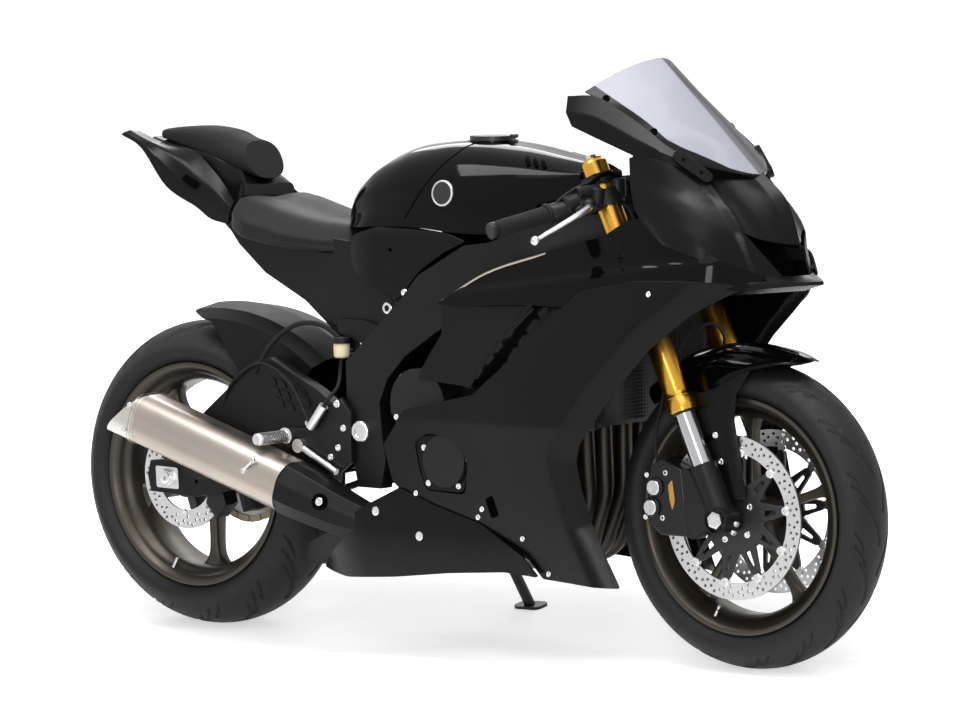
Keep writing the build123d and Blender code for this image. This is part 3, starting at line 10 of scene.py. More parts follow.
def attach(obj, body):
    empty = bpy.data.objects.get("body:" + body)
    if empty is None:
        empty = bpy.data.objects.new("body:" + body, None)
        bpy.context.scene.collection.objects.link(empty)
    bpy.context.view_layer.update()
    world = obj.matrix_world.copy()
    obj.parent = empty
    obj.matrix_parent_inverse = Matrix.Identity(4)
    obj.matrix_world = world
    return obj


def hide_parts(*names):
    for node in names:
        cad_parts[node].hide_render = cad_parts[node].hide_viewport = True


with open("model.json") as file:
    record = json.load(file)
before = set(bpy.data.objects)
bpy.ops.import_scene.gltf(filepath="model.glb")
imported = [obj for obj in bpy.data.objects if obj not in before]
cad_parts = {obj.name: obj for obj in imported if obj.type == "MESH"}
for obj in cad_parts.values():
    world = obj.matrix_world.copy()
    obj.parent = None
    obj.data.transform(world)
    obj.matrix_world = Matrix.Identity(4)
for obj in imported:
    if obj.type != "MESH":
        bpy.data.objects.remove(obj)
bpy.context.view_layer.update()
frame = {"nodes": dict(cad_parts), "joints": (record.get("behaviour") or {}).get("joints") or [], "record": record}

# The upright bike, in millimetres: +X forward from the rear axle, +Y to the rider's left, +Z up.
# PLACE sets it down in the row frame, where it leans on its side stand.
MM = 0.001
REAR_RADIUS, FRONT_RADIUS, WHEELBASE = 315.0, 300.0, 1375.0
RAKE, FORK_Y = radians(24), 103.0
JOINTS = {j["name"]: j for j in frame["joints"]}
BODY_OF = {n: b for b, nodes in frame["record"]["behaviour"]["bodies"].items() for n in nodes}
SLOT_OF = {s["node"]: s["material_slot"] for s in frame["record"]["subparts"]}


def placement():
    """The parked bike's place, from the two wheel joints."""
    rear = Vector(JOINTS["rear_wheel"]["pos_m"])
    front = Vector(JOINTS["front_wheel"]["pos_m"])
    y = Vector(JOINTS["rear_wheel"]["axis"])
    ahead = (front - rear).normalized()
    up = ahead.cross(y)
    dip = atan2(REAR_RADIUS - FRONT_RADIUS, WHEELBASE)
    x = ahead * cos(dip) + up * sin(dip)
    z = up * cos(dip) - ahead * sin(dip)
    origin = rear - z * REAR_RADIUS * MM
    return Matrix([[x.x, y.x, z.x, origin.x], [x.y, y.y, z.y, origin.y], [x.z, y.z, z.z, origin.z], [0, 0, 0, 1]])


PLACE = placement()
PLACE_MM = PLACE @ Matrix.Scale(MM, 4)
STEER_DIR = Vector((-sin(RAKE), 0, cos(RAKE)))
OUT = Vector((0, -1, 0))
FRONT_AXLE = Vector((WHEELBASE, 0, FRONT_RADIUS))
REAR_AXLE = Vector((0, 0, REAR_RADIUS))
SIDE_NAME = {-1: "right", 1: "left"}


def leg(side, s):
    """Point on a fork leg, s up from the axle."""
    return FRONT_AXLE + Vector((0, side * FORK_Y, 0)) + STEER_DIR * s


# Materials
def put(tree, socket, value):
    """Feed a socket from another socket, or set its value."""
    if isinstance(value, bpy.types.NodeSocket):
        tree.links.new(value, socket)
    else:
        socket.default_value = value


def settle(tree, node, **inputs):
    """Feed a node's sockets by name, with _ for a space."""
    for name, value in inputs.items():
        put(tree, node.inputs[name.replace("_", " ")], value)


def shader(tree, kind, out, **inputs):
    """New node with its sockets fed; returns the named output."""
    node = tree.nodes.new("ShaderNode" + kind)
    settle(tree, node, **inputs)
    return node.outputs[out]


def mixed(tree, share, a, b):
    """Colour between a and b."""
    node = tree.nodes.new("ShaderNodeMix")
    node.data_type = "RGBA"
    for i, value in ((0, share), (6, a), (7, b)):
        put(tree, node.inputs[i], value)
    return node.outputs[2]


def material(name):
    """New material with its node tree and shader."""
    mat = bpy.data.materials.new(name)
    mat.use_nodes = True
    return mat, mat.node_tree, mat.node_tree.nodes["Principled BSDF"]


def tint(color, share, lift=0.0):
    return (*[min(1, c * share + lift) for c in color], 1)


GRAIN_DEPTH = 0.0006
WORN_FROM, WORN_TO = 0.52, 0.62


def finish(name, color, rough, metal=0.0, coat=0.0, grain=None, mottle=0.12, mottle_scale=9.0, streak=None, wear=0.0,
           sheen=0.0, spec=0.5, rough_var=0.08):
    """Procedural finish: uneven colour and roughness, a fine grain or brushing, and worn edges."""
    mat, tree, bsdf = material(name)
    place = shader(tree, "TexCoord", "Object")
    patches = shader(tree, "TexNoise", "Fac", Vector=place, Scale=mottle_scale, Detail=5.0)
    base = mixed(tree, patches, tint(color, 1 - mottle), tint(color, 1 + mottle))
    if wear:
        edges = shader(tree, "MapRange", "Result", Value=shader(tree, "NewGeometry", "Pointiness"),
                       From_Min=WORN_FROM, From_Max=WORN_TO, To_Max=wear)
        base = mixed(tree, edges, base, tint(color, 1 + 4 * wear, 0.05 * wear))
    cloud = shader(tree, "TexNoise", "Fac", Vector=place, Scale=mottle_scale * 4.3, Detail=6.0)
    uneven = shader(tree, "MapRange", "Result", Value=cloud, To_Min=max(0.02, rough - rough_var),
                    To_Max=min(1.0, rough + rough_var))
    settle(tree, bsdf, Base_Color=base, Roughness=uneven, Metallic=metal, Coat_Weight=coat, Coat_Roughness=0.03,
           Specular_IOR_Level=spec, Sheen_Weight=sheen)
    if grain or streak:
        if streak:
            scale, strength, where = 1.0, streak[1], shader(tree, "Mapping", "Vector", Vector=place, Scale=streak[0])
        else:
            scale, strength, where = *grain, place
        fine = shader(tree, "TexNoise", "Fac", Vector=where, Scale=scale, Detail=3.0)
        settle(tree, bsdf, Normal=shader(tree, "Bump", "Normal", Height=fine, Strength=strength, Distance=GRAIN_DEPTH))
    return mat


def glass(name, color, rough, alpha, rim_alpha=0.9):
    """Thin milky sheet, darker and closer towards its silhouette; the darker colour there is a painted reflection."""
    mat, tree, bsdf = material(name)
    place = shader(tree, "TexCoord", "Object")
    cloud = shader(tree, "TexNoise", "Fac", Vector=place, Scale=14.0)
    uneven = shader(tree, "MapRange", "Result", Value=cloud, To_Min=rough, To_Max=rough + 0.03)
    base = mixed(tree, cloud, tint(color, 1), tint(color, 0.97))
    facing = shader(tree, "LayerWeight", "Facing", Blend=0.35)
    # Painted reflection: the colour turns near black where the sheet is seen at a grazing angle
    band = shader(tree, "MapRange", "Result", Value=facing, From_Min=0.4, From_Max=0.6)
    closed = shader(tree, "MapRange", "Result", Value=facing, To_Min=alpha, To_Max=rim_alpha)
    settle(tree, bsdf, Base_Color=mixed(tree, band, base, (0.03, 0.03, 0.035, 1)), Roughness=uneven, Alpha=closed,
           Specular_IOR_Level=0.12)
    return mat


LOOKS = {
    "tyre_rubber": ((0.0085, 0.0085, 0.009), 0.6, dict(grain=(900, 0.25), rough_var=0.1, spec=0.26)),
    "rim_bronze": ((0.055, 0.048, 0.038), 0.36, dict(metal=0.75, grain=(1400, 0.08), wear=0.15)),
    "disc_steel": ((0.55, 0.55, 0.56), 0.34, dict(metal=1.0, streak=((900, 40, 900), 0.12))),
    "carrier_black": ((0.02, 0.02, 0.022), 0.4, dict(metal=0.4, grain=(1500, 0.12), wear=0.25)),
    "sprocket_steel": ((0.3, 0.3, 0.31), 0.38, dict(metal=1.0, grain=(700, 0.1), wear=0.3)),
    "chain_steel": ((0.3, 0.26, 0.19), 0.4, dict(metal=1.0, grain=(500, 0.15), mottle=0.3)),
    "fork_silver": ((0.46, 0.46, 0.48), 0.16, dict(metal=1.0)),
    "fork_gold": ((0.62, 0.33, 0.05), 0.24, dict(metal=1.0, mottle=0.05, rough_var=0.03)),
    "cast_black": ((0.005, 0.005, 0.0054), 0.42, dict(grain=(700, 0.22), wear=0.3, spec=0.2)),
    "caliper_black": ((0.004, 0.004, 0.0044), 0.34, dict(grain=(800, 0.15), coat=0.15, wear=0.25, spec=0.2)),
    "axle_steel": ((0.52, 0.52, 0.53), 0.28, dict(metal=1.0, grain=(500, 0.06), wear=0.2)),
    "grip_rubber": ((0.0072, 0.0072, 0.0072), 0.7, dict(grain=(900, 0.3), spec=0.2)),
    "panel_gloss": ((0.0015, 0.0015, 0.0019), 0.09, dict(coat=0.08, grain=(90, 0.01), rough_var=0.02, spec=0.07)),
    "frame_black": ((0.004, 0.004, 0.0044), 0.4, dict(grain=(1100, 0.16), wear=0.2, spec=0.18)),
    "swingarm_black": ((0.0042, 0.0042, 0.0046), 0.4, dict(grain=(1100, 0.14), wear=0.2, spec=0.18)),
    "plastic_black": ((0.0036, 0.0036, 0.004), 0.5, dict(grain=(1300, 0.25), spec=0.14)),
    "engine_dark": ((0.009, 0.009, 0.0096), 0.42, dict(metal=0.35, grain=(420, 0.3), wear=0.25, spec=0.3)),
    "radiator_black": ((0.0096, 0.0096, 0.0102), 0.5, dict(metal=0.2, grain=(600, 0.2), spec=0.3)),
    "titanium": ((0.40, 0.35, 0.31), 0.34, dict(metal=1.0, streak=((30, 900, 900), 0.10), mottle=0.16,
                 mottle_scale=5)),
    "end_cap_metal": ((0.55, 0.53, 0.5), 0.32, dict(metal=1.0, grain=(600, 0.06))),
    "shield_black": ((0.0036, 0.0036, 0.004), 0.4, dict(grain=(900, 0.14), spec=0.16)),
    "tank_gloss": ((0.0015, 0.0015, 0.0019), 0.07, dict(coat=0.08, grain=(70, 0.008), rough_var=0.02, spec=0.07)),
    "cap_black": ((0.02, 0.02, 0.021), 0.38, dict(metal=0.5, grain=(900, 0.15), wear=0.3)),
    "seat_vinyl": ((0.006, 0.006, 0.0064), 0.6, dict(grain=(620, 0.5), sheen=0.08, spec=0.15)),
    "panel_matt": ((0.0028, 0.0028, 0.0032), 0.27, dict(grain=(1600, 0.08), rough_var=0.03, spec=0.13)),
    "pad_foam": ((0.01, 0.01, 0.0105), 0.8, dict(grain=(500, 0.6), spec=0.2)),
    "shock_black": ((0.018, 0.018, 0.0198), 0.36, dict(metal=0.4, grain=(500, 0.12), spec=0.3)),
    "control_silver": ((0.6, 0.6, 0.61), 0.3, dict(metal=1.0, grain=(500, 0.08), wear=0.2)),
    "reservoir_cream": ((0.62, 0.55, 0.36), 0.45, dict(mottle=0.06, grain=(300, 0.05))),
    "stand_black": ((0.007, 0.007, 0.0075), 0.42, dict(grain=(900, 0.14), wear=0.3, spec=0.3)),
}
M = {name: finish(name, color, rough, **more) for name, (color, rough, more) in LOOKS.items()}
M["screen_clear"] = glass("screen_clear", (0.37, 0.37, 0.425), 0.3, 0.74)
# Deep black with almost no reflection: for real black parts, and as painted shade in the nose intake, the tank's
# breather slots and the airbox block
DARK = finish("deep_black", (0.001, 0.001, 0.0011), 0.7, grain=(300, 0.1), spec=0.02)
BOLT = finish("bolt_steel", (0.66, 0.66, 0.66), 0.25, metal=1.0, grain=(900, 0.05))
BRASS = finish("pad_brass", (0.45, 0.26, 0.06), 0.45, metal=0.8, grain=(600, 0.1))
SATIN = finish("satin_black", (0.0025, 0.0025, 0.0028), 0.26, grain=(900, 0.06), rough_var=0.03, spec=0.16)
HEADER = finish("header_dark", (0.035, 0.03, 0.027), 0.38, metal=0.9, grain=(500, 0.1), wear=0.2)
BADGE = finish("badge_bare", (0.03, 0.03, 0.032), 0.3, metal=0.6, grain=(900, 0.05))

for node, obj in frame["nodes"].items():
    obj.data.materials.clear()
    obj.data.materials.append(M[SLOT_OF[node]])
    obj.data.shade_smooth()
    obj.data.set_sharp_from_angle(angle=radians(32))
frame["nodes"]["front_stay"].data.materials[0] = DARK
frame["nodes"]["exhaust_headers"].data.materials[0] = HEADER


# Curves and surfaces through tables of points
def slopes(p, knots, breaks):
    """Slopes to the left and right of each knot; they differ only at breaks."""
    h = np.diff(knots)
    d = np.diff(p, axis=0) / h.reshape(-1, *[1] * (p.ndim - 1))
    t = np.zeros_like(p)
    t[0], t[-1] = d[0], d[-1]
    for i in range(1, len(p) - 1):
        t[i] = (d[i - 1] * h[i] + d[i] * h[i - 1]) / (h[i] + h[i - 1])
    left, right = t.copy(), t.copy()
    for b in breaks:
        if b > 0:
            left[b] = d[b - 1]
        if b < len(d):
            right[b] = d[b]
    return left, right


def spline(p, knots, at, breaks=(), paired=False):
    """Smooth curve through p at the knots, read at the given places."""
    p = np.asarray(p, float)
    knots = np.asarray(knots, float)
    at = np.asarray(at, float)
    left, right = slopes(p, knots, breaks)
    i = np.clip(np.searchsorted(knots, at, side="right") - 1, 0, len(knots) - 2)
    h = knots[i + 1] - knots[i]
    f = (at - knots[i]) / h
    if paired:
        j = np.arange(len(at))
        p0, p1, m0, m1 = p[i, j], p[i + 1, j], right[i, j], left[i + 1, j]
    else:
        p0, p1, m0, m1 = p[i], p[i + 1], right[i], left[i + 1]
    shape = (-1, *[1] * (p0.ndim - 1))
    f, h = f.reshape(shape), h.reshape(shape)
    return ((2 * f**3 - 3 * f**2 + 1) * p0 + (f**3 - 2 * f**2 + f) * h * m0
            + (3 * f**2 - 2 * f**3) * p1 + (f**3 - f**2) * h * m1)


class Net:
    """Surface through rows of points: rows follow v, points in a row follow u."""

    def __init__(self, rows, v_knots=None, u_knots=None, v_breaks=(), u_breaks=()):
        self.p = np.array(rows, float)
        self.v = np.arange(len(rows)) if v_knots is None else np.array(v_knots, float)
        self.u = np.arange(self.p.shape[1]) if u_knots is None else np.array(u_knots, float)
        self.vb, self.ub = v_breaks, u_breaks

    def at(self, u, v):
        across = spline(self.p.transpose(1, 0, 2), self.u, u, self.ub)
        return spline(across.transpose(1, 0, 2), self.v, v, self.vb, paired=True)

    def lines(self, ku, kv):
        """Grid lines that keep to every knot."""
        us = np.concatenate([np.linspace(a, b, ku, endpoint=False) for a, b in zip(self.u, self.u[1:])] + [self.u[-1:]])
        vs = np.concatenate([np.linspace(a, b, kv, endpoint=False) for a, b in zip(self.v, self.v[1:])] + [self.v[-1:]])
        return us, vs

    def grid(self, ku, kv):
        us, vs = self.lines(ku, kv)
        uu, vv = np.meshgrid(us, vs)
        return self.at(uu.ravel(), vv.ravel()), quads(len(vs), len(us))


def both_sides(half):
    """Closed row from its right half, which starts and ends on the centre line."""
    row = half + [(x, -y, z) for x, y, z in half[-2:0:-1]]
    return row + [row[0]]


def squarish(t, power):
    """Point at angle t of a square with round sides."""
    return tuple(copysign(abs(v) ** (2 / power), v) for v in (cos(t), sin(t)))


def turns_of(n):
    """n even angles round a circle."""
    return [2 * pi * k / n for k in range(n)]


def quads(rows, columns, wrap=False):
    """Faces of a grid; wrap closes each row."""
    faces = []
    for r in range(rows - 1):
        for c in range(columns if wrap else columns - 1):
            d = (c + 1) % columns
            faces.append((r * columns + c, r * columns + d, (r + 1) * columns + d, (r + 1) * columns + c))
    return faces


def capped(rows, columns):
    """Faces of a tube: its wall and both ends."""
    end = range((rows - 1) * columns, rows * columns)
    return [*quads(rows, columns, wrap=True), tuple(range(columns))[::-1], tuple(end)]


def rounded(outline, radius, steps=4):
    """Outline with its corners rounded."""
    pts = [Vector(p) for p in outline]
    out = []
    for i, p in enumerate(pts):
        a, b = pts[i - 1], pts[(i + 1) % len(pts)]
        da, db = (a - p), (b - p)
        reach = min(radius, da.length * 0.45, db.length * 0.45)
        s, e = p + da.normalized() * reach, p + db.normalized() * reach
        for k in range(steps + 1):
            t = k / steps
            out.append(tuple(s * (1 - t) ** 2 + p * 2 * t * (1 - t) + e * t**2))
    return out


def split_long(loop, step):
    """Loop with points added so that no edge is much longer than step."""
    out = []
    for i, p in enumerate(loop):
        q = loop[(i + 1) % len(loop)]
        n = max(1, round(hypot(q[0] - p[0], q[1] - p[1]) / step))
        out += [(p[0] + (q[0] - p[0]) * k / n, p[1] + (q[1] - p[1]) * k / n) for k in range(n)]
    return out


def inside(points, loop):
    """Which points lie inside a loop."""
    points = np.asarray(points, float)
    hit = np.zeros(len(points), bool)
    for i in range(len(loop)):
        (x0, y0), (x1, y1) = loop[i - 1], loop[i]
        if y0 == y1:
            continue
        crosses = (y0 > points[:, 1]) != (y1 > points[:, 1])
        hit ^= crosses & (points[:, 0] < (x1 - x0) * (points[:, 1] - y0) / (y1 - y0) + x0)
    return hit


def fill(outline, holes=(), step=9.0):
    """Even triangles over an outline, in the plane: points, triangles, loops of point numbers."""
    loops, points = [], []
    for loop in [outline, *holes]:
        loop = split_long(loop, step)
        loops.append(list(range(len(points), len(points) + len(loop))))
        points += loop
    rim = np.array(points)
    low, high = rim.min(0), rim.max(0)
    xs = np.arange(low[0], high[0], step)
    ys = np.arange(low[1], high[1], step * 0.87)
    grid = np.array([(x + (step / 2 if j % 2 else 0), y) for j, y in enumerate(ys) for x in xs])
    keep = inside(grid, [points[i] for i in loops[0]])
    for loop in loops[1:]:
        keep &= ~inside(grid, [points[i] for i in loop])
    grid = grid[keep]
    if len(grid):
        near = np.min(np.linalg.norm(grid[:, None] - rim[None], axis=2), axis=1)
        grid = grid[near > step * 0.5]
    points += [tuple(p) for p in grid]
    edges = [(loop[i - 1], loop[i]) for loop in loops for i in range(len(loop))]
    verts, _, tris, origins, _, _ = geometry.delaunay_2d_cdt([Vector(p) for p in points], edges, [], 0, 1e-6)
    number = {}
    for new, old in enumerate(origins):
        for o in old:
            number[o] = new
    verts = np.array([tuple(v) for v in verts])
    centres = np.array([verts[list(t)].mean(0) for t in tris])
    keep = inside(centres, [tuple(verts[number[i]]) for i in loops[0]])
    for loop in loops[1:]:
        keep &= ~inside(centres, [tuple(verts[number[i]]) for i in loop])
    tris = [tuple(t) for t, k in zip(tris, keep) if k]
    return verts, tris, [[number[i] for i in loop] for loop in loops]


def normals(verts, faces):
    """Unit normal at each point."""
    verts = np.asarray(verts, float)
    total = np.zeros_like(verts)
    for f in faces:
        p = verts[list(f)]
        n = np.cross(p[1] - p[0], p[2] - p[0])
        if len(f) == 4:
            n = n + np.cross(p[2] - p[0], p[3] - p[0])
        for i in f:
            total[i] += n
    length = np.linalg.norm(total, axis=1, keepdims=True)
    return total / np.maximum(length, 1e-9)


PANEL_WALL, TRIM_WALL = 4.0, 3.0


def shell(verts, faces, wall):
    """Closed sheet: the surface, a copy moved by wall against its normals, and the rim."""
    verts = np.asarray(verts, float)
    inner = verts - normals(verts, faces) * wall
    n = len(verts)
    out = [tuple(f) for f in faces] + [tuple(n + i for i in f[::-1]) for f in faces]
    edges = {}
    for f in faces:
        for a, b in zip(f, f[1:] + f[:1]):
            edges[(a, b)] = True
    for a, b in edges:
        if (b, a) not in edges:
            out.append((b, a, n + a, n + b))
    return np.vstack([verts, inner]), out


def oriented(verts, faces, toward):
    """Faces turned so that their mean normal points the given way."""
    n = normals(verts, faces).mean(0)
    return faces if n @ np.array(toward) > 0 else [f[::-1] for f in faces]


def lathe(profile, start, direction, steps=48, closed=False):
    """Solid of revolution from (distance along, radius) corners."""
    start, d = Vector(start), Vector(direction).normalized()
    a = d.orthogonal().normalized()
    if abs(d.y) < 0.9:
        a = Vector((0, 1, 0)).cross(d).normalized()
    b = d.cross(a)
    ring = [a * cos(t) + b * sin(t) for t in turns_of(steps)]
    verts = [start + d * s + u * r for s, r in profile for u in ring]
    if closed:
        return verts, [tuple(i % len(verts) for i in f) for f in quads(len(profile) + 1, steps, wrap=True)]
    return verts, capped(len(profile), steps)


def rod(start, end, radius, steps=24, chamfer=0.0):
    """Round bar between two points."""
    start, end = Vector(start), Vector(end)
    length = (end - start).length
    profile = [(0, radius), (length, radius)]
    if chamfer:
        profile = [(0, radius - chamfer), (chamfer, radius), (length - chamfer, radius), (length, radius - chamfer)]
    return lathe(profile, start, end - start, steps)


def bolt(at, direction, radius=5.0, height=4.0, steps=20):
    """Cap screw head with its socket."""
    r, h = radius, height
    return lathe([(0, r), (h * 0.8, r), (h, r * 0.85), (h, r * 0.5), (h * 0.4, r * 0.5), (h * 0.4, 0.1)], at,
                 direction, steps)


def tube(path, radius, steps=14, k=6, squash=1.0):
    """Smooth tube through points; radius may change from point to point."""
    pts = np.array([tuple(p) for p in path], float)
    radii = np.array([radius] * len(pts) if np.isscalar(radius) else radius, float)
    knots = np.concatenate([[0], np.cumsum(np.linalg.norm(np.diff(pts, axis=0), axis=1))])
    at = np.concatenate([np.linspace(a, b, k, endpoint=False) for a, b in zip(knots, knots[1:])] + [knots[-1:]])
    line = spline(pts, knots, at)
    size = np.interp(at, knots, radii)
    verts = []
    for i, p in enumerate(line):
        d = Vector(line[min(i + 1, len(line) - 1)] - line[max(i - 1, 0)]).normalized()
        a = d.cross(Vector((0, 0, 1)))
        if a.length < 0.05:
            a = d.orthogonal()
        a.normalize()
        b = a.cross(d)
        verts += [Vector(p) + (a * cos(t) + b * sin(t) * squash) * size[i] for t in turns_of(steps)]
    return verts, capped(len(line), steps)


def pill(start, end, normal, radius, height, n=10):
    """Raised plate with round ends between two points."""
    start, end = Vector(start), Vector(end)
    d = (end - start).normalized()
    up = Vector(normal)
    up = (up - d * up.dot(d)).normalized()
    across = d.cross(up)
    verts = []
    for lift, r in ((-10, radius), (height - 1.5, radius), (height, radius - 1.5)):
        for k in range(2 * n):
            a = -pi / 2 + pi * (k % n) / (n - 1) + (pi if k >= n else 0)
            verts.append((end if k < n else start) + (d * cos(a) + across * sin(a)) * r + up * lift)
    return verts, capped(3, 2 * n)


UNSPLIT = 1e6


def prism(outline, y0, y1, holes=()):
    """Plate between two planes along the bike, with corners (x, z)."""
    points, tris, loops = fill(outline, holes, UNSPLIT)
    n = len(points)
    verts = [(p[0], y1, p[1]) for p in points] + [(p[0], y0, p[1]) for p in points]
    faces = [t for t in tris] + [tuple(n + i for i in t[::-1]) for t in tris]
    for loop in loops:
        for i in range(len(loop)):
            faces.append((loop[i - 1], loop[i], n + loop[i], n + loop[i - 1]))
    return verts, faces


def placed(name, mesh, body, replaces, sharp, width, limit, segments=2):
    """Object that rides with a body, with sharp and rounded edges where the faces turn enough."""
    mesh.shade_smooth()
    mesh.set_sharp_from_angle(angle=radians(sharp))
    obj = bpy.data.objects.new(name, mesh)
    bpy.context.scene.collection.objects.link(obj)
    if width:
        edge = obj.modifiers.new("edge", "BEVEL")
        edge.width = width * MM
        edge.segments = segments
        edge.limit_method = "ANGLE"
        edge.angle_limit = radians(limit)
        edge.harden_normals = False
    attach(obj, body)
    if replaces:
        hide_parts(*replaces)
    return obj


class Piece:
    """A visible piece in bike millimetres, set down in the row frame when it is done."""

    def __init__(self, name, body, slot, *mats):
        self.name, self.body, self.slot = name, body, slot
        self.mats = mats or (M[slot],)
        self.verts, self.faces, self.index = [], [], []

    def add(self, mesh, mat=0, mirror=False):
        verts, faces = mesh
        base = len(self.verts)
        self.verts += [tuple(v) for v in verts]
        self.faces += [tuple(base + i for i in f) for f in faces]
        self.index += [mat] * len(faces)
        if mirror:
            self.add(([(v[0], -v[1], v[2]) for v in verts], [f[::-1] for f in faces]), mat)
        return self

    def bolts(self, places, y, radius, height, mat):
        """Screw heads in a row on both sides, facing out."""
        for x, z in places:
            self.add(bolt((x, y, z), OUT, radius, height), mat, mirror=True)

    def done(self, replaces=(), sharp=35, bevel=0.0, segments=2, weld=0.0, limit=None):
        mesh = bpy.data.meshes.new(self.name)
        mesh.from_pydata(self.verts, [], self.faces)
        mesh.polygons.foreach_set("material_index", self.index)
        mesh.transform(PLACE_MM)
        bm = bmesh.new()
        bm.from_mesh(mesh)
        if weld:
            bmesh.ops.remove_doubles(bm, verts=bm.verts, dist=weld * MM)
        bmesh.ops.recalc_face_normals(bm, faces=bm.faces)
        bm.to_mesh(mesh)
        bm.free()
        for mat in self.mats:
            mesh.materials.append(mat)
        return placed(self.name, mesh, self.body, replaces, sharp, bevel, limit or sharp, segments)


SOFT_EDGE = 30


def soften(node, width):
    """The CAD node's own shape with rounded edges."""
    mesh = frame["nodes"][node].data.copy()
    bm = bmesh.new()
    bm.from_mesh(mesh)
    bmesh.ops.remove_doubles(bm, verts=bm.verts, dist=2e-5)
    bmesh.ops.dissolve_limit(bm, angle_limit=radians(2), verts=bm.verts, edges=bm.edges)
    bm.to_mesh(mesh)
    bm.free()
    placed(node + "_body", mesh, BODY_OF[node], [node], SOFT_EDGE, width, SOFT_EDGE)


for node, width in {
    "frame": 4.0, "swingarm": 4.0, "engine_block": 3.0, "fork_feet": 3.0, "front_calipers": 3.0, "rear_caliper": 2.5,
    "fork_clamps": 3.0, "footrest_hangers": 1.5, "stand_bracket": 1.5, "side_stand": 1.5, "subframe": 3.0,
    "foot_levers": 1.2, "front_stay": 2.0, "dash": 5.0, "handlebars": 1.5, "engine_covers": 4.0,
    "rear_hub_carriers": 1.5,
}.items():
    soften(node, width)


# Side fairings: a bulging skin over the panel table, with one long crease
PANEL_X = [590, 800, 1000, 1150, 1300, 1400, 1480]
PANEL_Z = [140, 300, 475, 640, 800]
PANEL_Y = [
    (150, 186, 206, 200, 190), (152, 196, 226, 214, 196), (160, 206, 245, 232, 206), (188, 210, 246, 238, 214),
    (196, 214, 236, 232, 206), (150, 170, 190, 196, 178), (80, 90, 100, 104, 92),
]
PANEL = Net([[(y,) for y in row] for row in PANEL_Y], PANEL_X, PANEL_Z, u_breaks=(2,))
LEADING = [(1168, 158), (1112, 283), (1094, 404), (1136, 469), (1180, 523), (1280, 631), (1392, 720), (1480, 757)]


def distance_to(line, x, z):
    """Distance of each point from a line of (x, z) corners."""
    best = np.full(len(x), 1e9)
    for (x0, z0), (x1, z1) in zip(line, line[1:]):
        dx, dz = x1 - x0, z1 - z0
        t = np.clip(((x - x0) * dx + (z - z0) * dz) / (dx * dx + dz * dz), 0, 1)
        best = np.minimum(best, np.hypot(x - x0 - t * dx, z - z0 - t * dz))
    return best


FOLD_WIDTH = 44


def panel_y(x, z, inset=0.0, fold=34.0):
    """Half width of the side fairing, folded in along its leading edge."""
    x, z = np.asarray(x, float), np.asarray(z, float)
    top = np.clip(z, 140, 800)
    y = PANEL.at(top, x)[:, 0] - inset - (z - top) * 0.16
    if fold:
        near = np.clip(1 - distance_to(LEADING, x, z) / FOLD_WIDTH, 0, 1)
        y = y - fold * near**1.3
    return y


def side_patch(outline, holes=(), step=9.0, surface=panel_y, wall=PANEL_WALL, radius=6.0):
    """Right-hand skin over an outline in (x, z)."""
    points, tris, _ = fill(rounded(outline, radius) if radius else outline, holes, step)
    verts = np.column_stack([points[:, 0], -surface(points[:, 0], points[:, 1]), points[:, 1]])
    return shell(verts, oriented(verts, tris, OUT), wall)


FAIRING = [
    (613, 415), (630, 343), (648, 329), (736, 300), (854, 268), (952, 209), (983, 166), (1168, 158),
    (1138, 220), (1112, 283), (1100, 344), (1094, 404), (1112, 440), (1136, 469), (1180, 523), (1280, 631),
    (1360, 696), (1440, 747), (1425, 758), (1360, 764), (1255, 762), (1132, 740), (1064, 690), (1012, 639),
    (950, 592), (889, 548), (864, 528), (770, 508), (676, 490), (645, 452),
]
COVER_HOLE = rounded([(700, 429), (737, 446), (802, 440), (838, 396), (822, 327), (718, 330), (706, 372)], 14)
VENT = rounded([(872, 322), (893, 330), (902, 290), (880, 282)], 5)
sides = Piece("fairing_sides", "chassis", "panel_matt", M["panel_matt"], DARK, BOLT)
sides.add(side_patch(FAIRING, [COVER_HOLE, VENT], 8.0), mirror=True)
for x, z in ((690, 322), (846, 283), (952, 246), (1002, 178), (657, 474), (1290, 738), (860, 300)):
    y = -panel_y([x], [z])[0]
    sides.add(bolt((x, y + 1.0, z), (0, -1, 0.12), 5.5, 3.5), 2, mirror=True)
sides.done(["side_panels"], sharp=42, bevel=0.8, limit=60)

# Crankcase covers shown in the fairings' cut-outs
cover = Piece("crank_cover", "chassis", "engine_dark", SATIN, BOLT, DARK)
plate = rounded([(704, 425), (738, 441), (800, 436), (833, 394), (818, 331), (722, 334), (710, 372)], 14)
cover.add(prism(plate, -196, -204), mirror=True)
cover.add(lathe([(0, 34), (4, 34), (6, 32), (6, 28), (4, 27), (4, 1)], (770, -203, 390), OUT, 48), mirror=True)
cover.bolts(((722, 416), (784, 428), (822, 396), (808, 344), (732, 346)), -204, 6.5, 5, 1)
cover.done(sharp=40, bevel=1.2)

# Gloss panels above the side fairings, and the dark ducts that they leave open
UPPER = [
    (739, 698), (800, 735), (900, 775), (1026, 813), (1100, 832), (1150, 842), (1200, 872), (1238, 880),
    (1296, 838), (1392, 812), (1474, 768), (1440, 742), (1360, 756), (1256, 750), (1132, 738), (1080, 706),
    (960, 706), (840, 700),
]
DUCT = [
    (742, 700), (1080, 712), (1140, 742), (1110, 690), (1012, 610), (889, 520), (807, 540), (681, 548), (716, 600),
    (746, 640),
]


def upper_y(x, z):
    """Half width of the gloss panel, with its step."""
    y = panel_y(x, z, 20.0, 0)
    step = np.clip((z - (716 + (x - 760) * 0.13)) / 12, 0, 1)
    return y - 7 * step - 0.02 * np.maximum(0, z - 780)


def duct_y(x, z):
    """Half width of the duct behind the fairing."""
    y = panel_y(x, z, 34.0, 0)
    fold = np.clip(((x - 880) - (z - 600) * 0.9) / 30, 0, 1)
    return y - 26 * fold


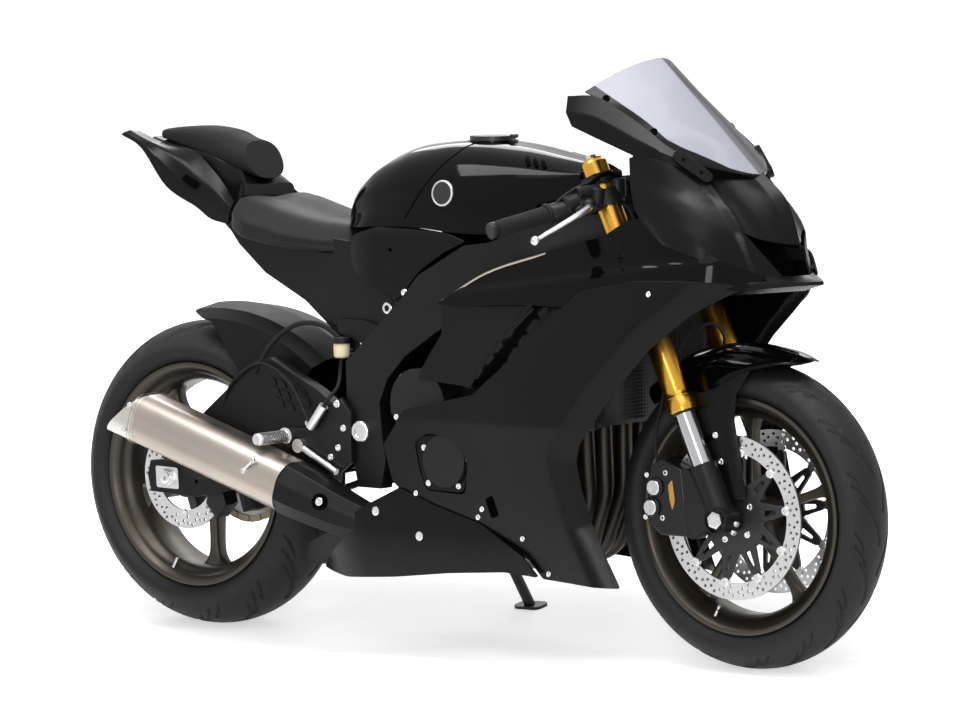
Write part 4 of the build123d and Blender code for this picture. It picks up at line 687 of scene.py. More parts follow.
inners = Piece("fairing_inners", "chassis", "panel_gloss", M["panel_gloss"], DARK, BOLT)
inners.add(side_patch(UPPER, [], 8.0, upper_y), mirror=True)
inners.add(lathe([(0, 7), (3, 7), (3, 3), (1, 3), (1, 0.2)], (1066, -186, 738), (0, -1, 0.1), 20), 1, mirror=True)
inners.done(["upper_panels"], sharp=40, bevel=0.8, limit=60)
ducts = Piece("fairing_ducts", "chassis", "panel_matt", SATIN, M["titanium"])
ducts.add(side_patch(DUCT, [], 9.0, duct_y), mirror=True)
ducts.add(rod((812, -180, 556), (985, -184, 700), 5, 12, 1), 0, mirror=True)
for k in range(3):
    ducts.add(tube([(745 + 14 * k, -172 + 3 * k, 704 - 5 * k), (860, -178 + 3 * k, 762 - 9 * k),
                    (1010 - 20 * k, -176 + 3 * k, 806 - 12 * k)], 2.6, 8, 6), 1, mirror=True)
ducts.done(sharp=40)

# Nose cowl: rows from the chin upwards, points from the centre ridge back along the side
NOSE_ROWS = [
    [(1500, 0, 757), (1482, 46, 762), (1446, 92, 772), (1388, 158, 798), (1300, 190, 832)],
    [(1494, 0, 792), (1474, 42, 798), (1436, 94, 812), (1372, 158, 838), (1274, 188, 858)],
    [(1484, 0, 828), (1466, 38, 836), (1428, 98, 850), (1350, 156, 872), (1246, 184, 886)],
    [(1470, 0, 874), (1450, 34, 876), (1404, 94, 890), (1330, 150, 905), (1232, 177, 920)],
    [(1450, 0, 914), (1428, 30, 912), (1376, 90, 920), (1308, 142, 936), (1222, 170, 952)],
    [(1399, 0, 958), (1378, 32, 958), (1330, 95, 968), (1278, 138, 986), (1211, 160, 1000)],
]
NOSE_V = [0, 40, 80, 126, 170, 222]
NOSE_U = [0, 45, 102, 186, 280]
NOSE = Net([[(x, -y, z) for x, y, z in row] for row in NOSE_ROWS], NOSE_V, NOSE_U, u_breaks=(2,))


def nose_point(u, v):
    """Right half of the nose: a raised centre ridge, and a crease from the screen down to the intake."""
    u, v = np.asarray(u, float), np.asarray(v, float)
    p = NOSE.at(u, v)
    ridge = np.clip(1 - np.abs(u) / 24, 0, 1) * 7
    line = 102 + (v - 80) * 0.10
    hollow = np.exp(-(((u - line + 34) / 26.0) ** 2)) * 8 * np.clip((v - 40) / 60.0, 0, 1)
    crease = np.clip(1 - np.abs(u - line) / 18, 0, 1) * 4
    out = ridge - hollow + crease
    p[:, 0] += out * 0.8
    p[:, 2] += out * 0.45
    p[:, 1] -= crease * 0.5
    return p


def nose_patch(outline):
    """Part of the nose's right half, over an outline in the nose's own coordinates."""
    points, tris, _ = fill(outline, (), 6.0)
    u = np.maximum(points[:, 0], 0)
    verts = nose_point(u, points[:, 1])
    verts[points[:, 0] < 0.01, 1] = 0
    return verts, oriented(verts, tris, (0.7, -0.7, 0.2))


cowl = Piece("nose_shell", "chassis", "panel_matt", M["panel_matt"], DARK, BOLT)
verts, faces = nose_patch([(0, 74), (50, 76), (102, 82), (72, 42), (44, 4), (60, 0), (280, 0), (280, 222), (0, 222)])
cowl.add(shell(verts, faces, PANEL_WALL), mirror=True)
cowl.done(["nose_cowl"], sharp=38, bevel=0.7, limit=60, weld=0.05)

# Air intake behind the nose's open mouth, and the lips that join it to the nose, all in deep black: painted shade
# inside the mouth
INTAKE_DEPTH = 34.0
intake = Piece("nose_intake", "chassis", "panel_matt", DARK, M["panel_matt"])
verts, faces = nose_patch([(0, 0), (50, 0), (108, 88), (50, 84), (0, 80)])
verts = verts * np.array([1, 0.92, 1]) - np.array([INTAKE_DEPTH, 0, 0])
intake.add(shell(verts, faces, TRIM_WALL), 0, mirror=True)
EDGE = [(102, 82), (72, 42), (44, 4)]
lip_u = np.interp(np.linspace(0, 2, 13), [0, 1, 2], [e[0] for e in EDGE])
lip_v = np.interp(np.linspace(0, 2, 13), [0, 1, 2], [e[1] for e in EDGE])
front_edge = nose_point(lip_u, lip_v) + np.array([-1, 0.6, 0])
back_edge = front_edge * np.array([1, 0.93, 1]) - np.array([INTAKE_DEPTH, 0, 0])
intake.add((np.vstack([front_edge, back_edge]), quads(2, 13)), 0, mirror=True)
top_u = np.linspace(0, 102, 13)
top_edge = nose_point(top_u, np.interp(top_u, [0, 50, 102], [74, 76, 82])) - np.array([1, 0, 1])
back_edge = top_edge * np.array([1, 0.93, 1]) - np.array([INTAKE_DEPTH, 0, 3.0])
intake.add((np.vstack([top_edge, back_edge]), quads(2, 13)), 0, mirror=True)
intake.done(sharp=60)

# Chin: a pointed lip under the intake that runs back into both fairings
CHIN = Net([
    [(1506, 0, 768), (1488, -40, 768), (1458, -84, 770), (1410, -140, 778)],
    [(1545, 0, 757), (1509, -46, 757), (1470, -92, 757), (1412, -150, 758)],
    [(1545, 0, 751), (1507, -46, 749), (1468, -92, 746), (1408, -152, 743)],
    [(1500, 0, 738), (1474, -44, 737), (1440, -88, 735), (1386, -146, 732)],
], v_breaks=(1, 2))
chin = Piece("nose_chin", "chassis", "panel_matt", M["panel_matt"])
verts, faces = CHIN.grid(6, 5)
chin.add(shell(verts, oriented(verts, faces, (1, 0, -0.4)), TRIM_WALL), mirror=True)
chin.done(sharp=40, weld=0.05)

# Windscreen: clear in the middle, dark along its lower edge and its sides
SCREEN_ROWS = [
    [(1399, 0, 955), (1385, 35, 961), (1338, 95, 983), (1297, 129, 1001)],
    [(1345, 0, 1008), (1334, 37, 1011), (1290, 97, 1024), (1250, 131, 1032)],
    [(1282, 0, 1070), (1273, 38, 1070), (1236, 99, 1068), (1200, 136, 1066)],
    [(1220, 0, 1128), (1211, 39, 1125), (1177, 100, 1108), (1143, 138, 1094)],
    [(1162, 0, 1182), (1153, 40, 1176), (1121, 100, 1152), (1082, 141, 1120)],
]
SCREEN = Net([[(x, -y, z) for x, y, z in row] for row in SCREEN_ROWS], [0, 78, 166, 250, 330], [0, 40, 110, 160])


def screen_sheet(u, v, faces):
    """Sheet over the screen's own coordinates; u is negative on the rider's left."""
    verts = SCREEN.at(np.abs(u), v)
    verts[:, 1] *= np.where(u < 0, -1, 1)
    return shell(verts, oriented(verts, faces, (0.8, 0, 0.5)), TRIM_WALL)


ACROSS, ALONG = 45, 31
clear_u = np.linspace(-143, 143, ACROSS)
clear_low = np.interp(np.abs(clear_u), [0, 62, 128, 143], [4, 10, 50, 78])
clear_v = clear_low + (330 - clear_low) * np.linspace(0, 1, ALONG)[:, None]
screen = Piece("screen_clear_part", "chassis", "screen_clear")
screen.add(screen_sheet(np.tile(clear_u, ALONG), clear_v.ravel(), quads(ALONG, ACROSS)))
screen.done(["windscreen"], sharp=60)
BORDER = [(160, 330), (160, 0), (0, 0), (0, 4), (62, 10), (128, 50), (143, 78), (143, 330)]
border = Piece("screen_border", "chassis", "panel_gloss", SATIN, BOLT, DARK)
for side in (1, -1):
    points, tris, _ = fill([(side * u, v) for u, v in BORDER], (), 8.0)
    border.add(screen_sheet(points[:, 0], points[:, 1], tris))
for v in (110, 278):
    at = SCREEN.at([152], [v])[0]
    border.add(bolt(tuple(at), (0.55, -0.55, 0.62), 7, 4), 2, mirror=True)
border.done(sharp=60, bevel=0.5)

# Brow: the matt band that carries the screen and runs down into the nose
BROW = Net([
    [(1052, -156, 1112), (1056, -168, 1080), (1067, -164, 1053)],
    [(1110, -142, 1111), (1119, -164, 1070), (1126, -166, 1032)],
    [(1170, -139, 1083), (1179, -160, 1046), (1180, -164, 1012)],
    [(1225, -135, 1051), (1228, -154, 1024), (1216, -161, 998)],
    [(1280, -131, 1014), (1284, -141, 1000), (1268, -137, 970)],
    [(1330, -101, 989), (1336, -103, 979), (1318, -94, 950)],
    [(1381, -38, 964), (1386, -38, 961), (1366, -32, 944)],
    [(1401, 0, 958), (1405, 0, 957), (1386, 0, 944)],
], u_breaks=(1,))
brow = Piece("screen_brow", "chassis", "plastic_black", M["panel_matt"], SATIN, DARK)
verts, faces = BROW.grid(7, 7)
brow.add(shell(verts, oriented(verts, faces, (0, -1, 0.3)), PANEL_WALL), mirror=True)
brow.add(pill((1300, -130, 997), (1346, -104, 958), (0.55, -0.75, 0.45), 12, 5), 1, mirror=True)
for at in ((1308, -126, 990), (1338, -109, 965)):
    brow.add(lathe([(0, 3.5), (6.5, 3.5), (6.5, 0.2)], at, (0.55, -0.75, 0.45), 12), 2, mirror=True)
brow.done(["screen_strips"], sharp=45, bevel=0.6, limit=60, weld=0.05)

# Panel between the nose's rear edge and the steering head
INNER_Z = [832, 858, 886, 920, 952, 1000]
INNER_OUTLINE = [(1290, 838), (1304, 836), (1276, 862), (1248, 890), (1236, 922), (1226, 954), (1214, 998), (1202, 994),
                 (1212, 942), (1228, 898), (1254, 866)]


def inner_y(x, z):
    """Half width of the strip behind the nose."""
    edge_x = np.interp(z, INNER_Z, [1300, 1274, 1246, 1232, 1222, 1211])
    return np.interp(z, INNER_Z, [190, 188, 184, 177, 170, 160]) - 3 + (edge_x - x) * 0.08


inner_nose = Piece("nose_inner_panels", "chassis", "panel_matt", M["panel_matt"])
inner_nose.add(side_patch(INNER_OUTLINE, (), 9.0, inner_y, TRIM_WALL, 0), 0, mirror=True)
inner_nose.done(sharp=50)

# Tank
TANK_ROWS = [
    (430, 846, 52, 844, 72, 841, 74, 836), (452, 905, 62, 892, 96, 868, 104, 838),
    (502, 960, 74, 946, 122, 905, 134, 842), (581, 998, 84, 985, 142, 930, 148, 846),
    (660, 1011, 90, 1000, 152, 932, 152, 846), (760, 1013, 92, 1000, 154, 925, 150, 838),
    (850, 1003, 88, 988, 142, 915, 138, 838), (940, 986, 74, 972, 108, 915, 104, 862),
    (1012, 972, 56, 960, 68, 930, 64, 896),
]


def tank_row(x, top, sy, sz, my, mz, ly, lz):
    """Section of the tank from its shoulder, middle and low corners."""
    half = [(x, 0, lz + 2), (x, -ly * 0.6, lz + 1), (x, -ly, lz), (x, -my - 1, (mz + lz) / 2), (x, -my, mz),
            (x, -(my + sy) / 2 - 6, (mz + sz) / 2 + 8), (x, -sy, sz), (x, -sy / 2, top - 1), (x, 0, top)]
    return both_sides(half)


TANK = Net([tank_row(*t) for t in TANK_ROWS], [t[0] for t in TANK_ROWS], u_breaks=(2, 14))


def closed_net(net, ku, kv):
    """Grid over a net whose rows close on themselves, with its ends filled."""
    us, vs = net.lines(ku, kv)
    uu, vv = np.meshgrid(us[:-1], vs)
    return net.at(uu.ravel(), vv.ravel()), capped(len(vs), len(us) - 1)


tank = Piece("tank_shell", "chassis", "tank_gloss", M["tank_gloss"], DARK, BADGE)
tank.add(closed_net(TANK, 8, 8))
tank.add(lathe([(-20, 52), (0, 52), (0.0, 50), (-2, 49), (-2, 1)], (742, 0, 1014), (0, 0, 1), 64), 0)
tank.done(["fuel_tank"], sharp=55)


# Seat and tail
def seat_row(x, top, top_y, side_y, side_z, low_z, dip=6):
    """Section of the seat, dished on top."""
    half = [(x, 0, low_z), (x, -side_y * 0.7, low_z), (x, -side_y + 2, low_z + 2), (x, -side_y, side_z - 12),
            (x, -side_y + 5, side_z + 4), (x, -top_y, top - 3), (x, -top_y * 0.55, top), (x, 0, top - dip)]
    return both_sides(half)


seat_rows = [
    seat_row(150, 886, 84, 104, 864, 852, 3), seat_row(164, 892, 98, 128, 864, 836, 4),
    seat_row(196, 888, 106, 148, 852, 818), seat_row(250, 874, 106, 149, 838, 804),
    seat_row(300, 861, 102, 148, 826, 797), seat_row(360, 849, 90, 138, 817, 791),
    seat_row(420, 842, 72, 118, 812, 788), seat_row(466, 837, 56, 90, 812, 791, 3),
]
seat = Piece("seat_cushion", "chassis", "seat_vinyl")
seat.add(closed_net(Net(seat_rows, [row[0][0] for row in seat_rows]), 6, 8))
seat.done(["seat"], sharp=70)

# Tyres
GROOVE_DEPTH = 4.5


def tyre(name, body, node, axle, radius, half, crown_half, crown_drop, bead_half, turns, phase):
    """Smooth tyre whose tread has cut grooves."""
    crown_r = (crown_half**2 + crown_drop**2) / (2 * crown_drop)
    edge = atan2(crown_half, crown_r - crown_drop)
    around = 600
    across = 72
    profile, arc = [], []
    for i in range(across + 1):
        a = -edge + 2 * edge * i / across
        profile.append((crown_r * sin(a), radius - crown_r + crown_r * cos(a)))
        arc.append(crown_r * a)
    shoulder = profile[-1]
    bulge = (half, (shoulder[1] + 230) / 2)
    heel = (bead_half - 8.3, 232)
    side = []
    for k in range(1, 13):
        t = k / 12
        shares = (1 - t) * (1 - 2 * t), 4 * t * (1 - t), t * (2 * t - 1)
        side.append(tuple(sum(np.array(p) * share for p, share in zip((shoulder, bulge, heel), shares))))
    inner = [(heel[0], 219.3), (heel[0] - 9, 219.3), (bulge[0] - 9, bulge[1]), (shoulder[0] - 9, shoulder[1] - 9),
             (0, radius - 9)]
    loop = profile + side + inner + [(-y, r) for y, r in inner[-2::-1]] + [(-y, r) for y, r in side[::-1]]
    ys = np.array([p[0] for p in loop])
    rs = np.array([p[1] for p in loop])
    theta = np.linspace(0, 2 * pi, around, endpoint=False)
    tt, yy = np.meshgrid(theta, ys, indexing="ij")
    _, rr = np.meshgrid(theta, rs, indexing="ij")
    depth = np.zeros_like(rr)
    s = np.array(arc)
    pitch = 2 * pi / turns
    for side_sign in (-1, 1):
        for start, points, width in GROOVES:
            offset = start + (0.5 if side_sign > 0 else 0) + phase
            local = ((tt[:, : across + 1] / pitch - offset) + 0.5) % 1.0 - 0.5
            along_mm = local * pitch * radius
            across_mm = np.broadcast_to(s * side_sign, along_mm.shape) / (crown_r * edge) * 78
            d = np.full(along_mm.shape, 1e9)
            for (x0, y0), (x1, y1) in zip(points, points[1:]):
                dx, dy = x1 - x0, y1 - y0
                t = np.clip(((along_mm - x0) * dx + (across_mm - y0) * dy) / (dx * dx + dy * dy), 0, 1)
                d = np.minimum(d, np.hypot(along_mm - x0 - t * dx, across_mm - y0 - t * dy))
            cut = np.clip((width - d) / 1.6 + 0.5, 0, 1)
            depth[:, : across + 1] = np.maximum(depth[:, : across + 1], cut * GROOVE_DEPTH)
    rr = rr - depth
    verts = np.column_stack([(axle.x + rr * np.cos(tt)).ravel(), yy.ravel(), (axle.z + rr * np.sin(tt)).ravel()])
    faces = [tuple(i % len(verts) for i in f) for f in quads(around + 1, len(loop), wrap=True)]
    Piece(name, body, "tyre_rubber").add((verts, faces)).done([node], sharp=60)


GROOVES = [
    (0.0, [(-52, 6), (-20, 14), (14, 30), (36, 50)], 2.9),
    (0.34, [(-34, 24), (-8, 36), (16, 54), (26, 66)], 2.6),
    (0.66, [(-22, 44), (0, 56), (14, 70)], 2.3),
]
tyre("front_tyre_tread", "front_wheel", "front_tyre", FRONT_AXLE, 300.0, 60.0, 57.0, 30.0, 52.0, 15, 0.1)
tyre("rear_tyre_tread", "rear_wheel", "rear_tyre", REAR_AXLE, 315.0, 90.0, 87.0, 46.0, 78.0, 14, 0.3)


# Wheels
def ring_of(centre, out, across, width, depth, n=16, power=3.2):
    """Rounded rectangle of points round a centre."""
    points = [squarish(t, power) for t in turns_of(n)]
    return [centre + across * (c * width / 2) - OUT * (s * depth / 2) for c, s in points]


def rim(name, body, node, axle, flange, hub_half, hub_r, bore, widths, phase):
    """Cast wheel with five spokes."""
    piece = Piece(name, body, "rim_bronze", M["rim_bronze"], M["axle_steel"], DARK)
    seat, well = flange - 8, flange * 0.45
    half = [(0, 200), (well, 200), (seat - 14, 212), (seat, 219.3), (seat + 0.5, 229), (seat + 3, 231),
            (flange - 1, 230.5), (flange, 226), (flange - 2, 221), (flange - 7, 218), (flange - 11, 213),
            (flange - 17, 211), (flange - 26, 205), (well + 12, 199), (well + 2, 193.5), (0, 193)]
    loop = half + [(-y, r) for y, r in half[-2:0:-1]]
    piece.add(lathe(loop, (axle.x, 0, axle.z), (0, 1, 0), 144, closed=True))
    hub = [(-hub_half, bore), (-hub_half, hub_r - 6), (-hub_half + 4, hub_r - 2), (-hub_half + 14, hub_r),
           (hub_half - 14, hub_r), (hub_half - 4, hub_r - 2), (hub_half, hub_r - 6), (hub_half, bore)]
    piece.add(lathe(hub, (axle.x, 0, axle.z), (0, 1, 0), 64, closed=True))
    root, waist, foot = widths
    stages = [(hub_r - 12, root * 1.25, root * 1.05), (hub_r + 4, root, root), (hub_r + 22, waist * 1.25, root * 0.9),
              (hub_r + 44, waist, root * 0.8), (120, waist * 0.92, root * 0.74), (150, waist * 0.95, root * 0.7),
              (172, waist * 1.2, root * 0.72), (186, foot * 0.8, root * 0.8), (196, foot * 1.2, root * 0.95)]
    for i in range(5):
        a = radians(phase + 72 * i)
        out, across = Vector((cos(a), 0, sin(a))), Vector((-sin(a), 0, cos(a)))
        rings = [ring_of(axle + out * r, out, across, w, d) for r, w, d in stages]
        net = Net([[tuple(p) for p in ring] + [tuple(ring[0])] for ring in rings], [s[0] for s in stages])
        us, vs = net.lines(2, 3)
        uu, vv = np.meshgrid(us[:-1], vs)
        piece.add((net.at(uu.ravel(), vv.ravel()), quads(len(vs), len(us) - 1, wrap=True)))
    valve = Vector((cos(radians(250)), 0, sin(radians(250))))
    piece.add(rod(axle + valve * 214 + OUT * (seat - 10), axle + valve * 190 + OUT * (seat - 16), 3.5, 12, 1), 1)
    piece.done([node], sharp=40)


rim("front_rim_cast", "front_wheel", "front_rim", FRONT_AXLE, 52.0, 63.0, 36.0, 11.2, (40, 20, 46), 18.0)
rim("rear_rim_cast", "rear_wheel", "rear_rim", REAR_AXLE, 78.0, 62.0, 46.0, 12.8, (48, 26, 60), 54.0)


def circle(cx, cz, r, n):
    """Round outline in (x, z)."""
    return [(cx + r * cos(t), cz + r * sin(t)) for t in turns_of(n)]


def disc(piece, axle, radius, bore, y, thick, groups, rows, hole, mirror=False):
    """Drilled brake disc."""
    holes = []
    for g in range(groups):
        for j, (r, shift) in enumerate(rows):
            a = 2 * pi * (g + shift) / groups
            holes.append(circle(axle.x + r * cos(a), axle.z + r * sin(a), hole, 8))
    edge, holes = circle(axle.x, axle.z, radius, 120), [circle(axle.x, axle.z, bore, 100), *holes]
    piece.add(prism(edge, y - thick / 2, y + thick / 2, holes), 0, mirror)


discs = Piece("front_discs_drilled", "front_wheel", "disc_steel", M["disc_steel"], BOLT, M["carrier_black"])
disc(discs, FRONT_AXLE, 160.0, 127.0, -68.0, 4.5, 20,
     [(152, 0.0), (145, 0.28), (138, 0.5), (152, 0.52), (133, 0.85), (145, 0.78)], 3.4, mirror=True)
for k in range(10):
    a = radians(36 * k + 9)
    at = FRONT_AXLE + Vector((cos(a) * 127, -64, sin(a) * 127))
    discs.add(lathe([(0, 9), (9, 9), (10.5, 7.5), (10.5, 4), (8, 3.5), (8, 0.2)], at, OUT, 20), 1, mirror=True)
discs.done(["front_discs"], sharp=35)

carriers = Piece("front_carriers_cast", "front_wheel", "carrier_black", M["carrier_black"], BOLT)


def about_front(r, a):
    """Point round the front axle, in (x, z)."""
    return FRONT_AXLE.x + r * cos(a), FRONT_AXLE.z + r * sin(a)


arms, slots = [], []
for a in (radians(36 * k + 9) for k in range(10)):
    arms += [about_front(r, a + t) for r, t in ((66, -0.26), (118, -0.075), (125, 0), (118, 0.075))]
    slot = [about_front(r, a + t) for r, t in ((72, -0.09), (103, -0.035), (103, 0.035), (72, 0.09))]
    slots.append(rounded(slot, 3, 2))
carriers.add(prism(rounded(arms, 9, 3), -70, -63, [circle(FRONT_AXLE.x, FRONT_AXLE.z, 24, 40), *slots]), 0, mirror=True)
for k in range(5):
    a = radians(72 * k + 30)
    carriers.add(bolt(FRONT_AXLE + Vector((cos(a) * 46, -70, sin(a) * 46)), OUT, 7, 2.5), 1, mirror=True)
carriers.done(["front_disc_carriers"], sharp=35, bevel=0.8)

back_disc = Piece("rear_disc_drilled", "rear_wheel", "disc_steel", M["disc_steel"], BOLT)
disc(back_disc, REAR_AXLE, 110.0, 72.0, -98.0, 4.5, 18, [(103, 0.0), (95, 0.35), (86, 0.68), (99, 0.7)], 3.4)
for k in range(5):
    a = radians(72 * k + 54)
    back_disc.add(bolt(REAR_AXLE + Vector((cos(a) * 76, -101, sin(a) * 76)), OUT, 6, 5), 1)
back_disc.done(["rear_disc"], sharp=35)

# Fork and brake details
for side in (-1, 1):
    fork = Piece("fork_trim_" + SIDE_NAME[side], "steering", "fork_gold", M["fork_gold"], M["cast_black"],
                 M["axle_steel"], DARK)
    start = leg(side, 0)
    for profile, steps, mat in (
            ([(218, 21.7), (218, 25), (222, 26.5), (229, 26.5), (229, 22)], 40, 1),
            ([(222, 26), (226, 29.5), (250, 29.5), (254, 27), (262, 26.2), (262, 25)], 48, 0),
            ([(742, 25), (744, 24), (748, 21), (748, 14), (745, 13), (745, 1)], 40, 0),
            ([(744, 12), (758, 11), (760, 9), (760, 1)], 6, 2),
            ([(500, 31), (505, 34), (529, 34), (534, 31)], 40, 1),
            ([(694, 30), (698, 32.5), (712, 32.5), (716, 30)], 40, 1)):
        fork.add(lathe(profile, start, STEER_DIR, steps), mat)
    out = Vector((0, side, 0))
    at = FRONT_AXLE + out * 130
    fork.add(lathe([(-3, 26), (0, 24), (0, 18), (-2, 17), (-2, 12)], at, out, 40), 1)
    fork.add(lathe([(-3, 17), (1.5, 17), (2, 15.5), (2, 11), (-8, 11), (-8, 0.5)], at, out, 6), 2)
    for dx in (-8, 9):
        fork.add(bolt(FRONT_AXLE + Vector((38 + dx * 0.4, side * 118, -14 + dx)), (1, side * 0.3, -0.4), 5.5, 5), 2)
    fork.done(sharp=35)

# Front fender: a hoop with a pointed tip, and a guard down each fork leg
HOOP = [
    (64.0, [(0, 341), (5, 340), (9, 339), (12, 338), (13, 337), (13, 335)]),
    (66.0, [(0, 340), (12, 338), (22, 334), (30, 331), (34, 328), (35, 325)]),
    (69.0, [(0, 338), (18, 336), (33, 331), (44, 327), (50, 323), (51, 320)]),
    (73.0, [(0, 336), (22, 334), (42, 327), (54, 320), (60, 314), (62, 309)]),
    (80.5, [(0, 334), (24, 331), (48, 321), (64, 308), (72, 299), (75, 291)]),
    (92.0, [(0, 334), (26, 331), (52, 318), (70, 300), (79, 282), (83, 263)]),
    (100.0, [(0, 335), (26, 332), (54, 318), (72, 298), (80, 272), (83, 247)]),
    (113.0, [(0, 338), (26, 334), (50, 322), (64, 304), (70, 282), (72, 262)]),
    (132.0, [(0, 336), (24, 332), (46, 322), (58, 309), (64, 296), (65, 284)]),
]
GUARD = [(1271, 527), (1308, 448), (1350, 344), (1358, 337), (1408, 337), (1411, 348), (1399, 414), (1385, 490),
         (1390, 540), (1420, 588), (1367, 565), (1333, 545), (1300, 538)]
GUARD_FRONT = [(1411, 338), (1399, 414), (1385, 490), (1390, 540), (1420, 588)]


def guard_y(x, z):
    """Distance of the fork guard from the centre plane."""
    rise = np.clip((z - 520) / 70, 0, 1) ** 2 * 10
    fold = np.clip(1 - distance_to(GUARD_FRONT, x, z) / 24, 0, 1) ** 1.6 * 9
    return 85 - rise - fold


def hoop_rows():
    """Rows of the right half of the hoop, from its tip backwards."""
    for angle, half in HOOP:
        a = radians(angle)
        yield [(FRONT_AXLE.x + r * cos(a), -y, FRONT_AXLE.z + r * sin(a)) for y, r in half]


fender = Piece("front_fender_hoop", "steering", "panel_gloss", M["panel_gloss"], M["panel_matt"], DARK, BOLT)
verts, faces = Net(list(hoop_rows()), [row[0] for row in HOOP]).grid(5, 6)
fender.add(shell(verts, oriented(verts, faces, (0, -0.3, 1)), TRIM_WALL), 0, mirror=True)
fender.add(side_patch(GUARD, (), 8.0, guard_y, TRIM_WALL, 8), 1, mirror=True)
for low, high in (((1317, -85, 447), (1349, -85, 460)), ((1329, -85, 396), (1361, -85, 409))):
    fender.add(pill(low, high, OUT, 6.5, 1.2), 2, mirror=True)
    fender.add(bolt((high[0], -86, high[2]), OUT, 6.5, 5), 3, mirror=True)
fender.done(["front_fender"], sharp=40, weld=0.05)

calipers = Piece("caliper_trim", "steering", "caliper_black", M["caliper_black"], M["axle_steel"], BRASS, BOLT)
for x, z in ((1221, 355), (1213, 316)):
    calipers.add(lathe([(0, 19), (6, 19), (8, 17), (8, 1)], (x, -110, z), OUT, 32), 0, mirror=True)
    calipers.add(lathe([(0, 15.5), (4, 15.5), (5.5, 14), (5.5, 8), (4, 7.5), (4, 5), (2.5, 4.5), (2.5, 0.3)],
                       (x, -117.5, z), OUT, 10), 1, mirror=True)
calipers.add(prism(rounded([(1262, 372), (1268, 330), (1262, 312), (1256, 330), (1252, 360)], 4), -110, -114), 2,
             mirror=True)
calipers.bolts(((1245, 384), (1237, 296), (1200, 378), (1196, 296)), -110, 5.5, 4, 3)
calipers.add(tube([(1228, -106, 384), (1236, -108, 396), (1262, -106, 396)], 5, 12, 6), 0, mirror=True)
calipers.done(sharp=35, bevel=0.8)


# Hoses and cables
def hose(name, body, points, radius):
    """Hose or cable fixed at both ends to one body."""
    Piece(name, body, "grip_rubber").add(tube(points, radius, 12, 8)).done(sharp=60)


# Handlebar ends, grips and levers
for side in (-1, 1):
    tag = SIDE_NAME[side]
    start, end = Vector((1089.1, side * 120, 908.4)), Vector((1008.1, side * 330, 860.4))
    d = (end - start).normalized()
    grip = Piece(f"grip_{tag}_ribbed", "steering", "grip_rubber", M["grip_rubber"], M["cast_black"], DARK)
    profile = [(-122, 21), (-118, 22), (-114, 21), (-113, 17)]
    for k in range(13):
        s = -110 + k * 8.2
        profile += [(s, 16.6), (s + 0.6, 17.2), (s + 5.6, 17.2), (s + 6.2, 16.6), (s + 7.2, 16.0)]
    profile += [(-2, 17.5), (0, 16)]
    grip.add(lathe(profile, end, d, 40), 0)
    grip.add(lathe([(0, 15), (2, 16.5), (12, 16.5), (14, 15), (14, 8), (10, 7)], end, d, 24), 1)
    grip.add(lathe([(9, 8), (10, 8), (10, 1)], end, d, 6), 2)
    grip.add(lathe([(-172, 15), (-170, 18), (-128, 19), (-124, 16)], end, d, 32), 1)
    grip.done(["grips"] if side < 0 else (), sharp=40)
    lever = Piece(f"lever_{tag}_polished", "steering", "cast_black", M["control_silver"], M["cast_black"], BOLT)
    path = [(1112, side * 170, 901), (1124, side * 190, 897), (1126, side * 222, 886), (1116, side * 262, 868),
            (1104, side * 300, 851), (1099, side * 318, 843)]
    lever.add(tube(path, [8.5, 8.5, 8, 7.5, 6.5, 5.5], 16, 8, 0.75), 0)
    lever.add(lathe([(-9, 1), (-8, 5), (-4, 8.5), (0, 9.5), (4, 8.5), (8, 5), (9, 1)], (1098, side * 323, 841),
                    (0, 1, 0), 24), 0)
    lever.add(lathe([(-9, 9), (-8, 10.5), (8, 10.5), (9, 9)], (1113, side * 171, 901), (0.3, 0, 1), 28), 1)
    lever.add(bolt((1116, side * 171, 910), (0.3, 0, 1), 6, 4), 2)
    lever.add(rod((1088, side * 178, 890), (1113, side * 171, 901), 9, 20, 2), 1)
    if side < 0:
        lever.add(rod((1100, -158, 893), (1118, -112, 906), 11, 24, 2), 1)
        lever.add(rod((1106, -140, 902), (1110, -138, 934), 14, 28, 2), 1)
    lever.done(["levers"] if side < 0 else (), sharp=40)

hose("front_brake_line", "steering", [(1116, -112, 906), (1140, -96, 900), (1166, -92, 860), (1180, -98, 800),
                                      (1196, -80, 740), (1212, -72, 650), (1222, -84, 540), (1216, -104, 440),
                                      (1224, -106, 400), (1232, -106, 386)], 3.2)
hose("front_brake_cross", "steering", [(1222, -84, 540), (1262, -60, 640), (1272, 0, 668), (1262, 60, 640),
                                       (1222, 84, 540), (1216, 104, 440), (1226, 106, 390)], 3.0)
hose("throttle_cable", "steering", [(1054, -222, 886), (1058, -200, 908), (1082, -160, 932), (1104, -110, 940),
                                    (1112, -70, 925), (1106, -40, 900)], 3.0)
hose("throttle_return", "steering", [(1050, -226, 884), (1062, -196, 914), (1090, -154, 942), (1110, -106, 950),
                                     (1120, -66, 932), (1112, -34, 902)], 3.0)

# Switch pods, master cylinder and the loom beside the fork tops
controls = Piece("bar_controls", "steering", "cast_black", M["cast_black"], DARK, BOLT)
for side in (-1, 1):
    controls.add(rod((1096, side * 124, 922), (1066, side * 190, 900), 19, 20, 4), 0)
    controls.add(rod((1104, side * 128, 930), (1084, side * 172, 924), 13, 20, 3), 0)
    controls.add(rod((1122, side * 92, 912), (1122, side * 92, 952), 17, 28, 3), 0)
    for k in range(3):
        controls.add(tube([(1076 + 8 * k, side * 150, 930 + 4 * k), (1104 + 6 * k, side * 118, 952 + 5 * k),
                           (1126, side * (72 - 8 * k), 946 - 6 * k), (1116, side * 30, 908)], 3.6, 10, 5), 1)
controls.done(sharp=35)

